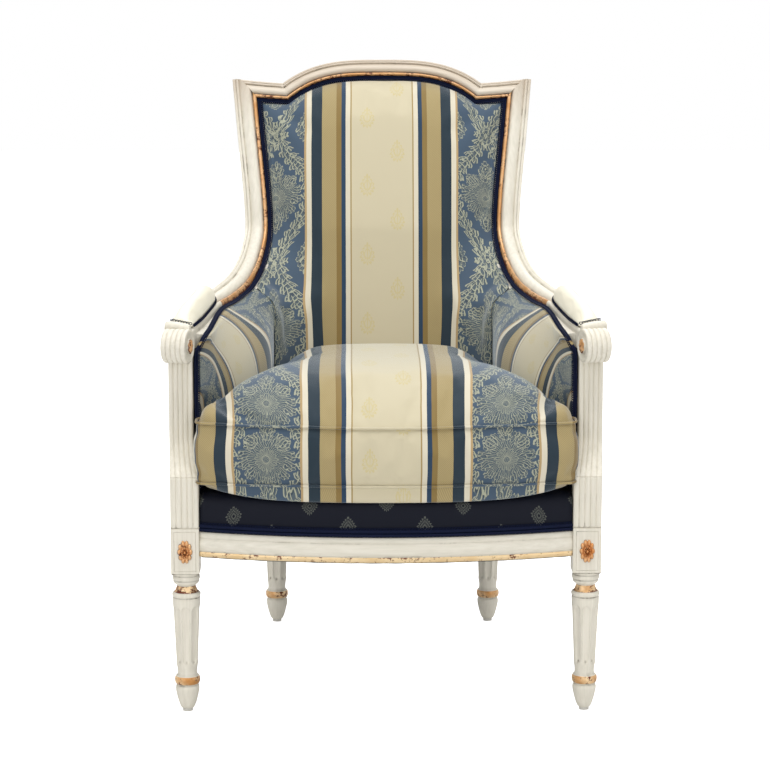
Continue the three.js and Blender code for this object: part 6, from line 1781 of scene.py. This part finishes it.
def makeDustCover():
    low, high = [[v / mm for v in corner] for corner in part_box("dust_cover")]
    behind, before = chair["frontLegY"] + dustCover["block"], chair["rearLegY"] - dustCover["block"]
    frontHalf, rearHalf = dustCover["frontHalf"], dustCover["rearHalf"]
    widths = [(-400, frontHalf), (behind, frontHalf), (behind + 0.5, high[0]), (before - 0.5, 194.5),
              (before, rearHalf), (high[1], rearHalf)]
    across = np.linspace(-1, 1, dustCover["columns"])
    grid = []
    for s in np.linspace(0, 1, dustCover["rows"]):
        y = mix(-308, high[1], s)
        x = across * readTable(y, widths)
        y = np.full_like(x, y) if s else frontRailY(x) + 6
        edge = np.minimum(1 - np.abs(across), min(s, 1 - s)) * 2
        tacks = 0.5 + 0.5 * np.sin(2 * math.pi * (x + y) / dustCover["tackStep"])
        z = dustCover["level"] - dustCover["sag"] * edge - dustCover["pucker"] * (1 - edge) ** 8 * tacks
        grid.append(triple(x, y, z))
    grid = np.array(grid)
    # the first rows spread over the bow of the front rail
    for r in range(1, 8):
        grid[r, :, 1] = mix(grid[0, :, 1], grid[8, :, 1], r / 8)
    half = up * dustCover["thickness"] / 2
    points, faces, _ = shell(grid[:, ::-1] + half, grid[:, ::-1] - half)
    piece = addPiece("dustCover", points, faces, [cambric])
    dress(piece, ["dust_cover"])


# Parts that keep their own shape and only get a finish
finishes = {"corner_block": bareBeech, "corner_screw": zinc, "glide": glidePlastic,
            "lower_back_rail": bareBeech}


def finishRest():
    for name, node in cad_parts.items():
        for start, material in finishes.items():
            if name.startswith(start):
                node.data.materials.clear()
                node.data.materials.append(material)


stages = {
    "cushion": makeCushion, "inside back": makeInsideBack, "inside arms": makeInsideArms,
    "arm pads": makeArmPads, "deck": makeDeck, "piping": makePiping, "pad gimp": makePadGimp,
    "outside back": makeOutsideBack, "outside arms": makeOutsideArms, "webbing": makeWebbing,
    "dust cover": makeDustCover, "finishes": finishRest,
}
for stage, make in stages.items():
    make()
    print(stage, "made")


# Each lamp: (name, place, size, power)
lamps = [
    ("keyLamp", (-2.9, -4.9, 2.4), 2.4, 60),
    ("fillLamp", (3.3, -4.6, 1.8), 2.4, 40),
    ("topLamp", (0.0, -0.9, 5.2), 3.2, 180),
    ("backLamp", (0.4, 3.4, 3.6), 2.4, 56),
]


# Plain pale floor, soft studio light
def makeStage():
    floorMesh = bpy.data.meshes.new("floor")
    reach = 12.0
    corners = [(-reach, -reach, 0), (reach, -reach, 0), (reach, reach, 0), (-reach, reach, 0)]
    floorMesh.from_pydata(corners, [], [(0, 1, 2, 3)])
    settings = {"Base Color": (0.86, 0.86, 0.86, 1), "Roughness": 0.9, "Specular IOR Level": 0.1}
    material, tree, shader = startMaterial("paleStudioFloor", settings)
    floorMesh.materials.append(material)
    floor = bpy.data.objects.new("floor", floorMesh)
    bpy.context.scene.collection.objects.link(floor)
    # seen directly the floor is lifted to white, and it keeps the chair's soft shadow
    path = addNode(tree, "ShaderNodeLightPath")
    glow = addNode(tree, "ShaderNodeEmission", None, {"Color": (1, 1, 1, 1), "Strength": 0.86})
    both = addNode(tree, "ShaderNodeAddShader", None, {0: shader.outputs[0], 1: glow.outputs[0]})
    inputs = {0: path.outputs["Is Camera Ray"], 1: shader.outputs[0], 2: both.outputs[0]}
    pick = addNode(tree, "ShaderNodeMixShader", None, inputs)
    output = next(n for n in tree.nodes if n.type == "OUTPUT_MATERIAL")
    tree.links.new(pick.outputs[0], output.inputs[0])

    world = bpy.data.worlds.new("studio")
    world.use_nodes = True
    bpy.context.scene.world = world
    tree = world.node_tree
    tree.nodes.clear()
    path = addNode(tree, "ShaderNodeLightPath")
    known = {"camera": path.outputs["Is Camera Ray"], "glossy": path.outputs["Is Glossy Ray"]}
    seen = workOut(tree, known, [("seen", "MAXIMUM", "camera", "glossy")])["seen"]
    soft = addNode(tree, "ShaderNodeBackground", None, {"Color": (1, 1, 1, 1), "Strength": 0.42})
    white = addNode(tree, "ShaderNodeBackground", None, {"Color": (1, 1, 1, 1), "Strength": 1.0})
    pick = addNode(tree, "ShaderNodeMixShader", None, {0: seen, 1: soft.outputs[0], 2: white.outputs[0]})
    addNode(tree, "ShaderNodeOutputWorld", None, {0: pick.outputs[0]})
    for name, place, size, power in lamps:
        data = bpy.data.lights.new(name, "AREA")
        data.size = size
        data.energy = power
        lamp = bpy.data.objects.new(name, data)
        lamp.location = place
        lamp.rotation_euler = (Vector((0, 0, 0.5)) - Vector(place)).to_track_quat("-Z", "Y").to_euler()
        bpy.context.scene.collection.objects.link(lamp)


makeStage()
bpy.context.scene.view_settings.view_transform = "Standard"
print("scene ready")
